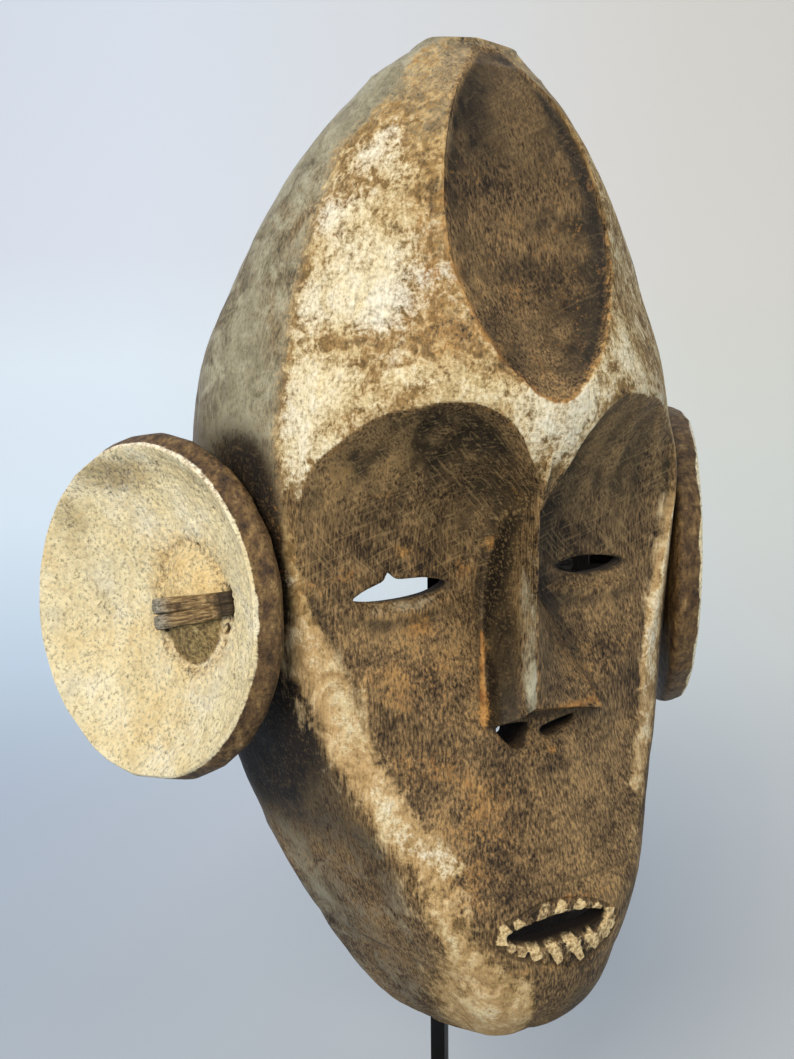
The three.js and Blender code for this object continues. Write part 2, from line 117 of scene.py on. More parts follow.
# Seamless matt paper: no gloss, a cooler tone to the left than to the right, painted shade that makes it
# darker towards the floor, and a mottling so wide that it only reads as a soft change of tone.
paper, tree = new_material("matt_backdrop_paper")
place = node(tree, "TexCoord", out="Object")
drift = node(tree, "TexNoise", {"Vector": place, "Scale": 0.9, "Detail": 1.0})
across, away, height = node(tree, "SeparateXYZ", {"Vector": place}, out=slice(3))
# Painted shade: the paper's tone rises with height and further back up the sweep
rise = node(tree, "Math", {0: drift, 1: 0.06, 2: height}, operation="MULTIPLY_ADD")
rise = node(tree, "Math", {0: away, 1: 0.35, 2: rise}, operation="MULTIPLY_ADD")
cool, warm = (
    node(tree, "ValToRGB", {"Fac": rise}, stops=list(zip((0.1, 0.19, 0.33, 0.53, 0.8, 1.0), tints)))
    for tints in (
        ("#a8b5c6", "#b1bed1", "#c7daec", "#e0f0fe", "#e7f4ff", "#e3ebf7"),
        ("#c0c4c4", "#d1d5d5", "#d8dddc", "#d9dfdc", "#dddfd9", "#e1dfda")))
sideways = node(tree, "MapRange", {0: across, 1: -0.4, 2: 0.4})
tone = node(tree, "Mix", {0: sideways, 6: cool, 7: warm}, data_type="RGBA", out=2)
surfaced(tree, tone, 0.95, 0.1)

SWEEP_FRONT = -2.2
SWEEP_BACK = 1.5
SWEEP_RADIUS = 0.9
SWEEP_HEIGHT = 3.2
SWEEP_WIDTH = 7.0
SWEEP_TURN = math.radians(-24)
profile = [(SWEEP_FRONT, 0.0)]
for turn in np.linspace(0, math.pi / 2, 25):
    profile.append((SWEEP_BACK - SWEEP_RADIUS * (1 - math.sin(turn)), SWEEP_RADIUS * (1 - math.cos(turn))))
profile.append((SWEEP_BACK, SWEEP_HEIGHT))
corners = [(side * SWEEP_WIDTH / 2, y, z) for y, z in profile for side in (-1, 1)]
sweep_mesh = bpy.data.meshes.new("paper_sweep")
sweep_mesh.from_pydata(
    corners, [], [(2 * i, 2 * i + 1, 2 * i + 3, 2 * i + 2) for i in range(len(profile) - 1)])
sweep_mesh.polygons.foreach_set("use_smooth", [True] * len(sweep_mesh.polygons))
sweep_mesh.materials.append(paper)
sweep = bpy.data.objects.new("paper_sweep", sweep_mesh)
sweep.rotation_euler = (0, 0, SWEEP_TURN)
bpy.context.scene.collection.objects.link(sweep)

# Each soft light: name, where it stands and what it points at, its size, its watts and its tint. The paper
# and the lights are in metres.
for name, stands, aims, size, watts, tint in [
    ("key", (-1.3, -1.2, 1.35), (0, 0, 0.33), 1.0, 40, "#fff2dc"),
    ("fill", (1.3, -1.5, 0.7), (0, 0, 0.3), 1.6, 7, "#e6eeff"),
    ("top", (0.2, 0.3, 1.8), (0, 0, 0.3), 1.2, 7, "#ffffff"),
]:
    light = bpy.data.lights.new(name, "AREA")
    light.size = size
    light.energy = watts
    light.color = linear(tint)[:3]
    lamp = bpy.data.objects.new(name, light)
    lamp.location = stands
    lamp.rotation_euler = (Vector(aims) - Vector(stands)).to_track_quat("-Z", "Y").to_euler()
    bpy.context.scene.collection.objects.link(lamp)
world = bpy.data.worlds.new("studio_air")
world.use_nodes = True
world.node_tree.nodes["Background"].inputs["Color"].default_value = linear("#dfe6f2")
world.node_tree.nodes["Background"].inputs["Strength"].default_value = 0.5
bpy.context.scene.world = world

# The carved mask
# One piece of light wood, carved with adze and knife into a long shield of a head about 9 mm thick and open
# behind. Its forehead, cheeks and chin are rubbed with kaolin; its leaf and face are smoked dark.
ROOT = np.array([0.0, 7.0, 336.0])
WALL = 9.0
CHIN, CROWN = -216, 158
FAR_FORWARD = -300


def through(*knots):
    """A smooth curve through (position, value) knots that never overshoots them."""
    places, values = np.array(knots, float).T
    slope = np.diff(values) / np.diff(places)
    before, after = np.r_[slope[0], slope], np.r_[slope, slope[-1]]
    turning = before * after <= 0
    tangent = np.where(turning, 0, 2 * before * after / np.where(turning, 1, before + after))

    def value(at):
        at = np.clip(at, places[0], places[-1])
        i = np.clip(np.searchsorted(places, at, side="right") - 1, 0, len(places) - 2)
        step = places[i + 1] - places[i]
        t = (at - places[i]) / step
        lift = t * t * (3 - 2 * t) * (values[i + 1] - values[i])
        return values[i] + lift + step * t * (1 - t) * ((1 - t) * tangent[i] - t * tangent[i + 1])

    return value


def noise(points, size, seed):
    """Seeded smooth noise from -1 to 1 at points, with lumps as wide as size (one number or one for each
    axis)."""
    table = np.random.default_rng(seed).uniform(-1, 1, 4096)
    cell = np.asarray(points) / size
    base = np.floor(cell).astype(np.int64)
    t = cell - base
    t = t * t * t * (t * (t * 6 - 15) + 10)
    total = 0
    for corner in np.ndindex(2, 2, 2):
        mixed = (base + corner) * (73856093, 19349663, 83492791)
        key = (mixed[..., 0] ^ mixed[..., 1] ^ mixed[..., 2]) % 4096
        total = total + table[key] * np.prod(np.where(corner, t, 1 - t), axis=-1)
    return total


def ramp(value, low, high):
    """0 below low, 1 above high, and an S-curve between them; low may be the higher one."""
    t = np.clip((value - low) / (high - low), 0, 1)
    return t * t * (3 - 2 * t)


def deeper(a, b, soft):
    """The larger of two depths, blended where they differ by less than soft."""
    share = np.clip(0.5 + 0.5 * (a - b) / soft, 0, 1)
    return b + (a - b) * share + soft * share * (1 - share)


def off_outline(x, z, outline):
    """Distance from points to a closed outline, negative inside it."""
    start = np.asarray(outline, float)
    end = np.roll(start, -1, axis=0)
    nearest = np.full(x.shape, np.inf)
    inside = np.zeros(x.shape, bool)
    for (ax, az), (bx, bz) in zip(start, end):
        dx, dz = bx - ax, bz - az
        t = np.clip(((x - ax) * dx + (z - az) * dz) / max(dx * dx + dz * dz, 1e-9), 0, 1)
        nearest = np.minimum(nearest, np.hypot(x - ax - t * dx, z - az - t * dz))
        if az != bz:
            inside ^= ((az > z) != (bz > z)) & (x < ax + (z - az) * dx / dz)
    return np.where(inside, -nearest, nearest)


def rounded_outline(outline, rounds):
    """A closed outline with its corners cut off, again and again."""
    line = np.asarray(outline, float)
    for _ in range(rounds):
        after = np.roll(line, -1, axis=0)
        line = np.stack([0.75 * line + 0.25 * after, 0.25 * line + 0.75 * after], 1).reshape(-1, 2)
    return line


# The outside, from the chin at -216 to the crown at 158
side_x = through(
    (-216, 10), (-214, 20), (-205, 36), (-180, 53), (-140, 74), (-100, 88), (-60, 95), (0, 97), (40, 94),
    (80, 76.5), (120, 55.5), (140, 38.5), (150, 28), (155, 20.5), (157.2, 14), (158, 10.5))
side_y = through((-216, -14), (-190, 2), (-120, 18), (0, 25), (100, 22), (158, 6))
rim_in = through((-216, 2), (-120, 5), (0, 8), (80, 9), (158, 3))
rim_y = through(
    (-216, -6), (-205, 6), (-160, 30), (-120, 47), (-60, 65), (0, 65), (80, 50), (120, 38), (158, 22))
ridge_x = through(
    (-216, 4), (-210, 11.5), (-195, 21.5), (-180, 28.5), (-160, 38), (-120, 56.7), (-80, 72.6), (-40, 81.8),
    (0, 84.5), (40, 78.8), (80, 68.9), (120, 51.3), (140, 34.2), (150, 26), (155, 20), (158, 13))
ridge_y = through(
    (-216, -24), (-210, -41), (-195, -54.5), (-180, -60), (-160, -60), (-120, -46.3), (-80, -29.1),
    (-40, -20),
    (0, -17.2), (40, -15.6), (80, -7.5), (120, -4.4), (140, -7.9), (158, -8))
cheek_x = through(
    (-216, 2), (-205, 8), (-180, 18), (-150, 26), (-120, 40), (-80, 50), (-33, 52), (34, 43), (70, 31),
    (100, 31.7), (130, 22.3), (158, 5))
cheek_y = through(
    (-216, -26), (-205, -50.5), (-180, -69), (-150, -72), (-120, -55.5), (-80, -39.5), (-33, -42), (0, -55),
    (34, -60), (70, -54.5), (100, -46.4), (130, -36.1), (158, -10))
front_y = through(
    (-216, -25), (-210, -38.5), (-203, -51.5), (-195, -60.5), (-180, -71), (-165, -74.5), (-150, -73),
    (-120, -64.5), (-100, -59), (-76, -54), (0, -61), (15, -69), (35, -74), (55, -68.5), (100, -54),
    (130, -40), (158, -11))


def half_sections(z):
    """Half of the outside's section at each height, from the middle of the front round to the back rim."""
    corners = [
        np.stack(pair, -1) for pair in (
            (np.zeros_like(z), front_y(z)), (cheek_x(z), cheek_y(z)), (ridge_x(z), ridge_y(z)),
            (side_x(z), side_y(z)), (side_x(z) - rim_in(z), rim_y(z)))
    ]
    pieces = []
    for start, end, bow in zip(corners, corners[1:], (2.0, 2.5, 2.0, 0.5)):
        along = end - start
        out = np.stack([along[:, 1], -along[:, 0]], -1) / np.linalg.norm(along, axis=1)[:, None]
        t = np.linspace(0, 1, 25)[:-1]
        rise = (bow * side_x(z) / 100)[:, None] * 4 * t * (1 - t)
        pieces.append(start[:, None] + t[:, None] * along[:, None] + rise[..., None] * out[:, None])
    return np.concatenate([*pieces, corners[-1][:, None]], 1), 48


def run_of(line):
    """How far along a line each of its points lies."""
    return np.r_[0, np.cumsum(np.hypot(*np.diff(line, axis=0).T))]


def points_at(places, run, line):
    """Points of a line at given places along its run."""
    return np.stack([np.interp(places, run, line[:, k]) for k in (0, 1)], -1)


def bell(sigma, reach):
    """The weights of a bell curve."""
    weights = np.exp(-0.5 * (np.arange(-reach, reach + 1) / sigma) ** 2)
    return weights / weights.sum()


def softened(line, width):
    """A section line sampled every half millimetre and smoothed; gives its old and new lengths and points."""
    run = run_of(line)
    even = np.linspace(0, run[-1], max(60, int(2 * run[-1])))
    spaced = points_at(even, run, line)
    sigma = width / (even[1] - even[0])
    pad = int(3 * sigma) + 1
    padded = np.concatenate([
        2 * spaced[0] - spaced[pad:0:-1], spaced, 2 * spaced[-1] - spaced[-2:-pad - 2:-1]])
    return run, even, np.stack([np.convolve(padded[:, k], bell(sigma, pad), "valid") for k in (0, 1)], -1)


def mirrored(half):
    """Half of a section joined to its mirror image."""
    return np.concatenate([half[:0:-1] * (-1, 1), half])


def at_height(flat, high):
    """The points of a flat outline at one height."""
    return np.c_[flat, np.full(len(flat), float(high))]


def left_of(line):
    """The directions square to a line, to the left of the way it runs."""
    heading = np.gradient(line, axis=0)
    heading /= np.linalg.norm(heading, axis=1)[:, None]
    return np.stack([-heading[:, 1], heading[:, 0]], -1)


# The two sides were cut by eye, so each is a few millimetres fuller than the drawn line at some heights
fuller_left = through(
    (-216, 0), (-195, 0.6), (-178, 2.5), (-165, 1.8), (-140, 0.3), (-120, 0.4), (-100, 1.1), (-80, 1.2),
    (-40, 2), (0, 2.5), (30, 1.2), (60, 1.1), (80, 1.8), (95, 1.6), (110, 0), (125, -0.8), (140, 0.2),
    (150, 1.4),
    (155, 2.2), (158, 3))
fuller_right = through(
    (-216, 0.5), (-195, 1.3), (-160, 1), (-130, 0.3), (-60, 0), (40, 0), (60, 0.8), (85, 1.9), (105, 1),
    (125, 0),
    (158, 0))

# The sunken face between the brows and the mouth
brow_height = through(
    (0, 0), (7, 12), (14.5, 20), (30, 30.5), (42.5, 34), (55, 31.5), (64.6, 25), (74.6, 11.5),
    (80, -12), (86, -28))
brow_y = through((0, -61), (14.5, -59), (42.5, -60.5), (52, -53), (64.6, -42), (74.6, -31.5), (80, -29))
face_y = through((-112, -74), (-100, -61), (-90, -54.5), (-76, -47.5), (-50, -35), (-33, -29.5), (-15, -28.5))
face_edge = through((-112, 46), (-100, 51), (-80, 57), (-60, 62), (-33, 73), (-15, 79))
face_fall = through((-112, 8), (-80, 10), (-60, 5), (-33, 3))
EYE_LEVEL = -22
FACE_BOTTOM = -112


def face_depth(x, z):
    """How far forward the carved face lies below the brows, and how the vault curves up to them."""
    reach = np.abs(x)
    low = np.minimum(z, EYE_LEVEL)
    edge = face_edge(low)
    floor = face_y(low) + face_fall(low) * np.minimum(1, reach / edge) ** 2 - 1.2 * np.maximum(0, reach - edge)
    climb = np.maximum(0, (z - EYE_LEVEL) / np.maximum(brow_height(reach) - EYE_LEVEL, 4))
    vault = floor - np.maximum(floor - brow_y(reach), 2) * climb ** 2.3
    return np.where(z < FACE_BOTTOM, FAR_FORWARD, vault)


# Leaf-shaped recess on the forehead: how far each edge of the outline stands from the middle
leaf_right = through(
    (34.4, 3.2), (36.5, 8), (42, 12.9), (47, 17.6), (53.6, 21.4), (62, 24.9), (69.6, 27.1), (77.6, 29.2),
    (87, 30),
    (98, 29.7), (108, 28.4), (117.6, 26), (128.8, 21.6), (139.4, 15.2), (148, 7.6), (151.5, 4), (153.5, 2))
leaf_left = through(
    (34.4, 1.6), (37.5, 7), (45.6, 15), (53.6, 21.5), (68, 28.6), (80, 31.5), (92, 31.2), (103.2, 29.4),
    (115, 26.6), (130, 20.8), (145, 13.4), (151.5, 10), (153.5, 8.6))
LEAF_TIP = 34.4
LEAF_TOP = 153.5
LEAF_SCOOP = 6.5
LEAF_LIP = 0.9
leaf_heights = np.linspace(LEAF_TIP, LEAF_TOP, 60)
leaf_outline = np.r_[
    np.stack([leaf_left(leaf_heights), leaf_heights], -1),
    np.stack([-leaf_right(leaf_heights), leaf_heights], -1)[::-1],
]


def leaf_depth(x, z, surface):
    """The leaf's scooped floor, row by row, hung between the edges of the surface that it is cut into."""
    floor = np.full(x.shape, float(FAR_FORWARD))
    v = (z[:, 0] - LEAF_TIP) / (LEAF_TOP - LEAF_TIP)
    for i in np.flatnonzero((v > -0.03) & (v < 1.02)):
        high = np.clip(z[i, 0], LEAF_TIP, LEAF_TOP)
        right, left = -leaf_right(high), leaf_left(high)
        edge = np.interp([right, left], x[i], surface[i])
        t = (x[i] - right) / (left - right)
        within = np.clip(t, 0, 1)
        share = np.clip(v[i], 0, 1)
        ends = math.sin(math.pi * min(0.5, share * 2.2, (1 - share) * 1.5))
        out = np.abs(2 * within - 1)
        steep = np.sqrt(np.maximum(0, 1 - out ** 3.2))
        scoop = LEAF_SCOOP * ends * np.where(within < 0.5, 0.6 * (1 - out ** 1.8) + 0.4 * steep, steep)
        lip = LEAF_LIP * min(1, 12 * share, 7 * (1 - share)) * (0.3 + 0.7 * ramp(within, 0.1, 0.8))
        away = np.hypot((t - within) * (left - right), z[i, 0] - high)
        floor[i] = edge[0] + (edge[1] - edge[0]) * within + lip + scoop - 1.6 * away
    return floor


# Nose: its bridge line leans to the mask's right, its foot spreads to the left
nose_ridge = through((-80, -3), (-20, -2.9), (14, -2.2))
nose_right = through(
    (-80, -16.4), (-73, -14.8), (-60, -11.9), (-50, -10), (-40, -8.6), (-30, -7.8), (-10, -7), (14, -4.5))
nose_left = through((-80, 31), (-55, 21.5), (-26, 10.5), (0, 6), (14, 4))
nose_wall = through((-80, 9), (-50, 8), (-20, 6), (0, 3))
nose_wing = through((-80, 4.5), (-60, 2.6), (-30, 1))
NOSE_BOTTOM = [(-16, -79.2), (-3, -73.2), (29, -80), (31, -80.6)]
NOSE_TOP = 14
NOSE_RIDGE_Y = -62.8


def nose_depth(x, z):
    """The nose's steep right wall and two facets, its worn ridge, and its undercut tip."""
    high = np.clip(z, -80, NOSE_TOP)
    root = face_depth(0 * x, np.minimum(high, EYE_LEVEL))
    right, left, bridge = nose_right(high), nose_left(high), nose_ridge(high)
    wall, wing = nose_wall(high), nose_wing(high)
    shoulder = right + 1
    t = np.clip((x - shoulder) / (bridge - 1 - shoulder), 0, 1.3)
    on_right = root - wall + t * (NOSE_RIDGE_Y - root + wall) - 2.2 * 4 * t * np.maximum(0, 1 - t)
    on_right = np.where(x < shoulder, root - wall + (shoulder - x) * (wall + 4), on_right)
    t = np.clip((left - x) / (left - bridge - 0.5), -1, 1.3)
    on_left = root - wing + np.maximum(t, 0) * (NOSE_RIDGE_Y - root + wing) + 6 * np.maximum(0, x - left)
    facets = np.maximum(np.maximum(on_right, on_left), NOSE_RIDGE_Y + 0.3)
    under = 2.6 * np.maximum(0, np.interp(x, *np.array(NOSE_BOTTOM).T) - z)
    return facets + under + 3 * np.maximum(0, z - NOSE_TOP)


# Pierced holes, as outlines on the face from the viewer's side
right_eye = [
    (-57.8, -35.9), (-52.6, -32.9), (-48.3, -31.4), (-45.4, -30.2), (-44.5, -28.2), (-43.4, -26.8),
    (-42.4, -28.4), (-40.6, -30.1), (-35.9, -30.1), (-29.6, -30.2), (-23.5, -31.5), (-20.6, -33.2),
    (-23.2, -34.9), (-29.6, -36.6), (-40.2, -37.4), (-49.5, -37.3), (-55.6, -36.6),
]
left_eye = [
    (23.8, -31.9), (27.2, -30.2), (33.1, -29), (40.2, -28.8), (48.7, -29.9), (56.4, -32.2), (53.7, -34.2),
    (46.4, -35.6), (38, -35.8), (29.7, -34.6),
]
right_nostril = [
    (-13.4, -82.2), (-3, -81.9), (1.6, -82.6), (-1.2, -86), (-2.8, -90), (-7, -90.3), (-10.6, -87)]
left_nostril = [
    (4.4, -84.8), (12.5, -83.3), (21.8, -82.4), (20.4, -84.6), (14.8, -86.6), (9.5, -88), (5.6, -87.6)]
mouth_slit = [
    (-20.4, -150.6), (-17.5, -149.1), (-13.3, -148), (-6.8, -147.2), (1.2, -146.5), (8.6, -146.6),
    (16.1, -147.4), (20.7, -149.7), (21.8, -151.5), (19.2, -153.6), (13.2, -155.3), (5.7, -155.8),
    (-0.1, -156.6), (-6, -156.9), (-11.8, -156), (-17.5, -153.9),
]
# Where the teeth's ring ends, and each tooth: its root, its tip and how much kaolin it still holds
teeth_ring = [
    (-24.2, -149.5), (-23.2, -146.4), (-20.4, -145.2), (-16.2, -144.3), (-11.9, -143), (-6.9, -141.6),
    (-2.6, -141.1), (2.6, -141.4), (8.5, -142), (14.5, -143.6), (19.8, -146.1), (25.2, -150.1), (27.3, -154),
    (26.6, -158.1), (24, -161), (21, -163.1), (17.2, -165), (11.9, -166.8), (5.9, -166.7), (0, -165.6),
    (-5.9, -163.6), (-11.7, -161.4), (-17.5, -158.9), (-22.4, -155.3), (-24.7, -152),
]
TEETH = [
    (-19.5, -149.6, -22.1, -145.6, 0.9), (-14.7, -148, -16.5, -144.9, 0.8),
    (-10.8, -147.3, -12.5, -144.3, 0.2), (-6.1, -146.7, -4, -141.4, 0.5), (-2.5, -146.4, -1.2, -141.9, 0.2),
    (1.5, -146.4, 3.3, -142, 1), (5.2, -146.2, 7.4, -142.7, 0.2), (8.9, -146.2, 11.1, -143.1, 0.8),
    (13, -147, 14.9, -144.6, 0.2), (16.4, -148.1, 18.3, -146.1, 0.8), (21, -150.5, 24.9, -150.7, 0.8),
    (21.5, -152.7, 26.1, -154.8, 0.5), (21.1, -154.2, 25.8, -157.6, 0.8), (19.3, -155.7, 23.2, -160.5, 1),
    (17, -156.5, 20.2, -161.8, 0.2), (13.2, -157, 17.2, -163.2, 0.8), (9.5, -156.5, 13.5, -163, 0.2),
    (5, -156.5, 10.4, -165.7, 1), (1.3, -157.3, 4.8, -164.7, 0.2), (-2.3, -157.4, 0.7, -164.5, 0.8),
    (-6.7, -156.7, -4.8, -163, 0.2), (-10, -156.3, -8.8, -161.5, 1), (-13.9, -155.3, -14.8, -159.2, 0.5),
    (-17.5, -154.1, -19.6, -156.6, 0.5), (-20.4, -151.8, -24, -151.9, 0.8),
    (-20.5, -150.4, -23.2, -148.7, 0.5),
]


def blurred(values, sigma, axis):
    """Values smoothed along one axis by a bell curve."""
    reach = int(3 * sigma)
    pad = [(0, 0)] * values.ndim
    pad[axis] = (reach, reach)
    padded = np.pad(values, pad, mode="reflect", reflect_type="odd")
    size = values.shape[axis]
    return sum(
        weight * np.take(padded, range(k, k + size), axis=axis) for k, weight in enumerate(bell(sigma, reach)))


# Rows and columns of the outside, closer together where the carving is finer
END_RADIUS = 2.2
CROWN_RADIUS = 1.2
rows = np.concatenate([np.arange(start, stop, step) for start, stop, step in [
    (CHIN + END_RADIUS, -170, 0.8), (-170, -136, 0.42), (-136, -92, 0.95), (-92, -70, 0.42), (-70, -40, 0.9),
    (-40, -24, 0.5), (-24, 44, 0.75), (44, 148, 0.95), (148, 156.8, 0.6)]])
front_share = np.concatenate([
    np.arange(start, stop, step) for start, stop, step in [
        (-1, -0.24, 0.0092), (-0.24, 0.02, 0.0042), (0.02, 0.44, 0.0072), (0.44, 1, 0.0092)]])
section_softness = through(
    (-216, 1), (-195, 1.6), (-150, 2.6), (-100, 4.2), (-40, 4.6), (120, 4.6), (158, 2.2))
SIDE_COLUMNS = 40
RIM_POINTS = 4
RIM_FILLET = 2.4
halves, ridge_index = half_sections(rows)
columns = []
for half, high in zip(halves, rows):
    line = mirrored(half)
    middle = len(half) - 1
    run, even, soft = softened(line, float(section_softness(high)))
    centre, ridge, end = run[middle], run[middle + ridge_index], run[-1]
    shares = np.arange(1, SIDE_COLUMNS + 1) / SIDE_COLUMNS
    flank = ridge + (end - RIM_FILLET - ridge) * shares
    along = np.r_[2 * centre - flank[::-1], centre + front_share * (ridge - centre), flank]
    points = points_at(along, even, soft)
    heading = (soft[-1] - soft[-8]) / np.linalg.norm(soft[-1] - soft[-8])
    turn = np.linspace(0, np.pi / 2, RIM_POINTS + 1)[1:]
    fillet = soft[-1] - heading * RIM_FILLET * (1 - np.sin(turn))[:, None]
    fillet = fillet - np.array([1, 0]) * (RIM_FILLET * (1 - np.cos(turn)))[:, None]
    chord = np.linspace(fillet[-1], fillet[-1] * (-1, 1), 12)[1:-1]
    columns.append(np.concatenate([fillet[::-1] * (-1, 1), points, fillet, chord]))
section = np.array(columns)
grid = np.concatenate([section, np.broadcast_to(rows[:, None, None], (*section.shape[:2], 1))], -1)
faced = slice(RIM_POINTS + SIDE_COLUMNS, RIM_POINTS + SIDE_COLUMNS + len(front_share))
worked = slice(0, 2 * (RIM_POINTS + SIDE_COLUMNS) + len(front_share))
# The corners of the drawn profiles are worn round, and the crown slopes down to the back
grid[..., :2] = blurred(grid[..., :2], 5, 0)
fuller = np.where(grid[..., 0] > 0, fuller_left(rows)[:, None], -fuller_right(rows)[:, None])
grid[..., 0] += fuller * ramp(np.abs(grid[..., 0]) / side_x(rows)[:, None], 0.4, 0.8)
grid[..., 2] -= 0.07 * ramp(rows, 112, 158)[:, None] * np.maximum(0, grid[..., 1] + 8)
grid[..., 2] -= 0.13 * ramp(rows, 135, 158)[:, None] * np.maximum(0, grid[..., 0])
hull = grid.copy()

# The carving, cut into the front of the outside
x, y, z = np.moveaxis(grid[:, faced], -1, 0)
wander = 0.25 * noise(np.stack([x, z, 0 * x], -1), 11, 3)
# Beside the nose the socket's floor comes forward to meet it
beside = 9 * ramp(z, -48, -8) * np.exp(-(((x + 1) / 11) ** 2))
face = face_depth(x + wander, z + 2 * wander) - beside
leaf = leaf_depth(x + 0.8 * wander, z, y)
carved = deeper(y, face, 1.6 + 4.5 * ramp(z, -8, -40) * ramp(np.abs(x), 40, 62))
carved = deeper(carved, leaf, 1.3)
nose = nose_depth(x + 0.3 * wander, z)
carved = -deeper(-carved, -nose, 0.8 + 13 * ramp(z, -34, -2))
# A soft bag under each eye
BAG_RISE = 1.2
for side in (-1, 1):
    level = through((18, -38.6), (40, -41.4), (62, -40))(side * x)
    carved -= BAG_RISE * np.exp(-(((z - level) / 2.2) ** 2)) * ramp(side * x, 14, 26) * ramp(side * x, 66, 52)
# Lips of the holes, worn round
LIP_WEAR = 0.7
for outline, worn_back in ((right_eye, 1.6), (left_eye, 1.6), (right_nostril, 1.2), (left_nostril, 1.2)):
    gap = off_outline(x, z, rounded_outline(outline, 1))
    carved += LIP_WEAR * np.clip(1 - gap / worn_back, 0, 1) ** 2
# The teeth stand up from a sunk ring round the mouth
ring_gap = off_outline(x, z, rounded_outline(teeth_ring, 2))
slit_gap = off_outline(x, z, rounded_outline(mouth_slit, 2))
TOOTH_RISE = 0.95
TOOTH_HALF_WIDTH = 2.3
carved += TOOTH_RISE * ramp(ring_gap, 0.7, -0.5)
tooth = np.zeros_like(x)
tooth_white = np.zeros_like(x)
for root_x, root_z, tip_x, tip_z, white in TEETH:
    dx, dz = tip_x - root_x, tip_z - root_z
    length = math.hypot(dx, dz)
    t = ((x - root_x) * dx + (z - root_z) * dz) / length ** 2
    off = np.abs((x - root_x) * dz - (z - root_z) * dx) / length
    width = TOOTH_HALF_WIDTH - 0.75 * np.clip(t, 0, 1) ** 2
    shape = ramp(off, width + 0.1, width - 0.3) * ramp(t, 1.1, 0.93) * ramp(t, -0.4, -0.15)
    tooth = np.maximum(tooth, shape)
    tooth_white = np.maximum(tooth_white, shape * white)
carved -= TOOTH_RISE * tooth
carved += 0.8 * ramp(slit_gap, 1.4, -0.4) * ramp(ring_gap, 0, -1)
grid[:, faced, 1] = carved

# Tool marks and wear over the whole outside
across = np.gradient(grid, axis=1)
upward = np.gradient(grid, rows, axis=0)
normal = np.cross(across, upward)
normal /= np.maximum(np.linalg.norm(normal, axis=-1, keepdims=True), 1e-9)
lumps = 0.42 * noise(grid, 26, 11) + 0.24 * noise(grid, 11, 12) + 0.13 * noise(grid, (5, 5, 9), 13)
lumps += 0.07 * noise(grid, (2.2, 2.2, 5), 14)
# The ring round the teeth and the flat chord behind are left calm, and the marks fade out at both ends
quiet = np.ones(grid.shape[:2])
quiet[:, faced] = 1 - 0.75 * ramp(ring_gap, 2, -1)
quiet[:, worked.stop:] = 0
fade = ramp(rows, CHIN + 2, CHIN + 7) * ramp(rows, CROWN - 0.5, CROWN - 4)
grid = grid + normal * ((lumps * quiet - 0.4) * fade[:, None])[..., None]


def loft(name, rings):
    """A closed mesh of equal rings of points, from the lowest to the highest, capped at both ends."""
    levels, count = rings.shape[:2]
    points = np.concatenate([rings.reshape(-1, 3), rings[:1].mean(1), rings[-1:].mean(1)])
    here = np.arange(count)
    there = np.roll(here, -1)
    base = np.arange(levels - 1)[:, None] * count
    walls = np.stack([base + here, base + there, base + there + count, base + here + count], -1).reshape(-1, 4)
    top = (levels - 1) * count
    floor = np.stack([there, here, np.full(count, levels * count)], -1)
    roof = np.stack([top + here, top + there, np.full(count, levels * count + 1)], -1)
    mesh = bpy.data.meshes.new(name)
    mesh.from_pydata(((points + ROOT) * MM).tolist(), [], walls.tolist() + floor.tolist() + roof.tolist())
    shape = bmesh.new()
    shape.from_mesh(mesh)
    if shape.calc_volume(signed=True) < 0:
        mesh.flip_normals()
    shape.free()
    made = bpy.data.objects.new(name, mesh)
    bpy.context.scene.collection.objects.link(made)
    return made


def rounded_end(ring, radius, outward):
    """Rings that round off the end of a loft."""
    centre = ring.mean(0)
    reach = np.abs(ring[:, 0]).max()
    made = []
    for turn in np.linspace(0, np.pi / 2, 6)[1:]:
        scaled = centre + (ring - centre) * (1 - radius * (1 - math.cos(turn)) / reach)
        scaled[:, 2] = ring[:, 2] + outward * radius * math.sin(turn)
        made.append(scaled)
    return np.array(made)


mask = loft("carved_mask", np.concatenate([
    rounded_end(grid[0], END_RADIUS, -1)[::-1], grid, rounded_end(grid[-1], CROWN_RADIUS, 1)]))

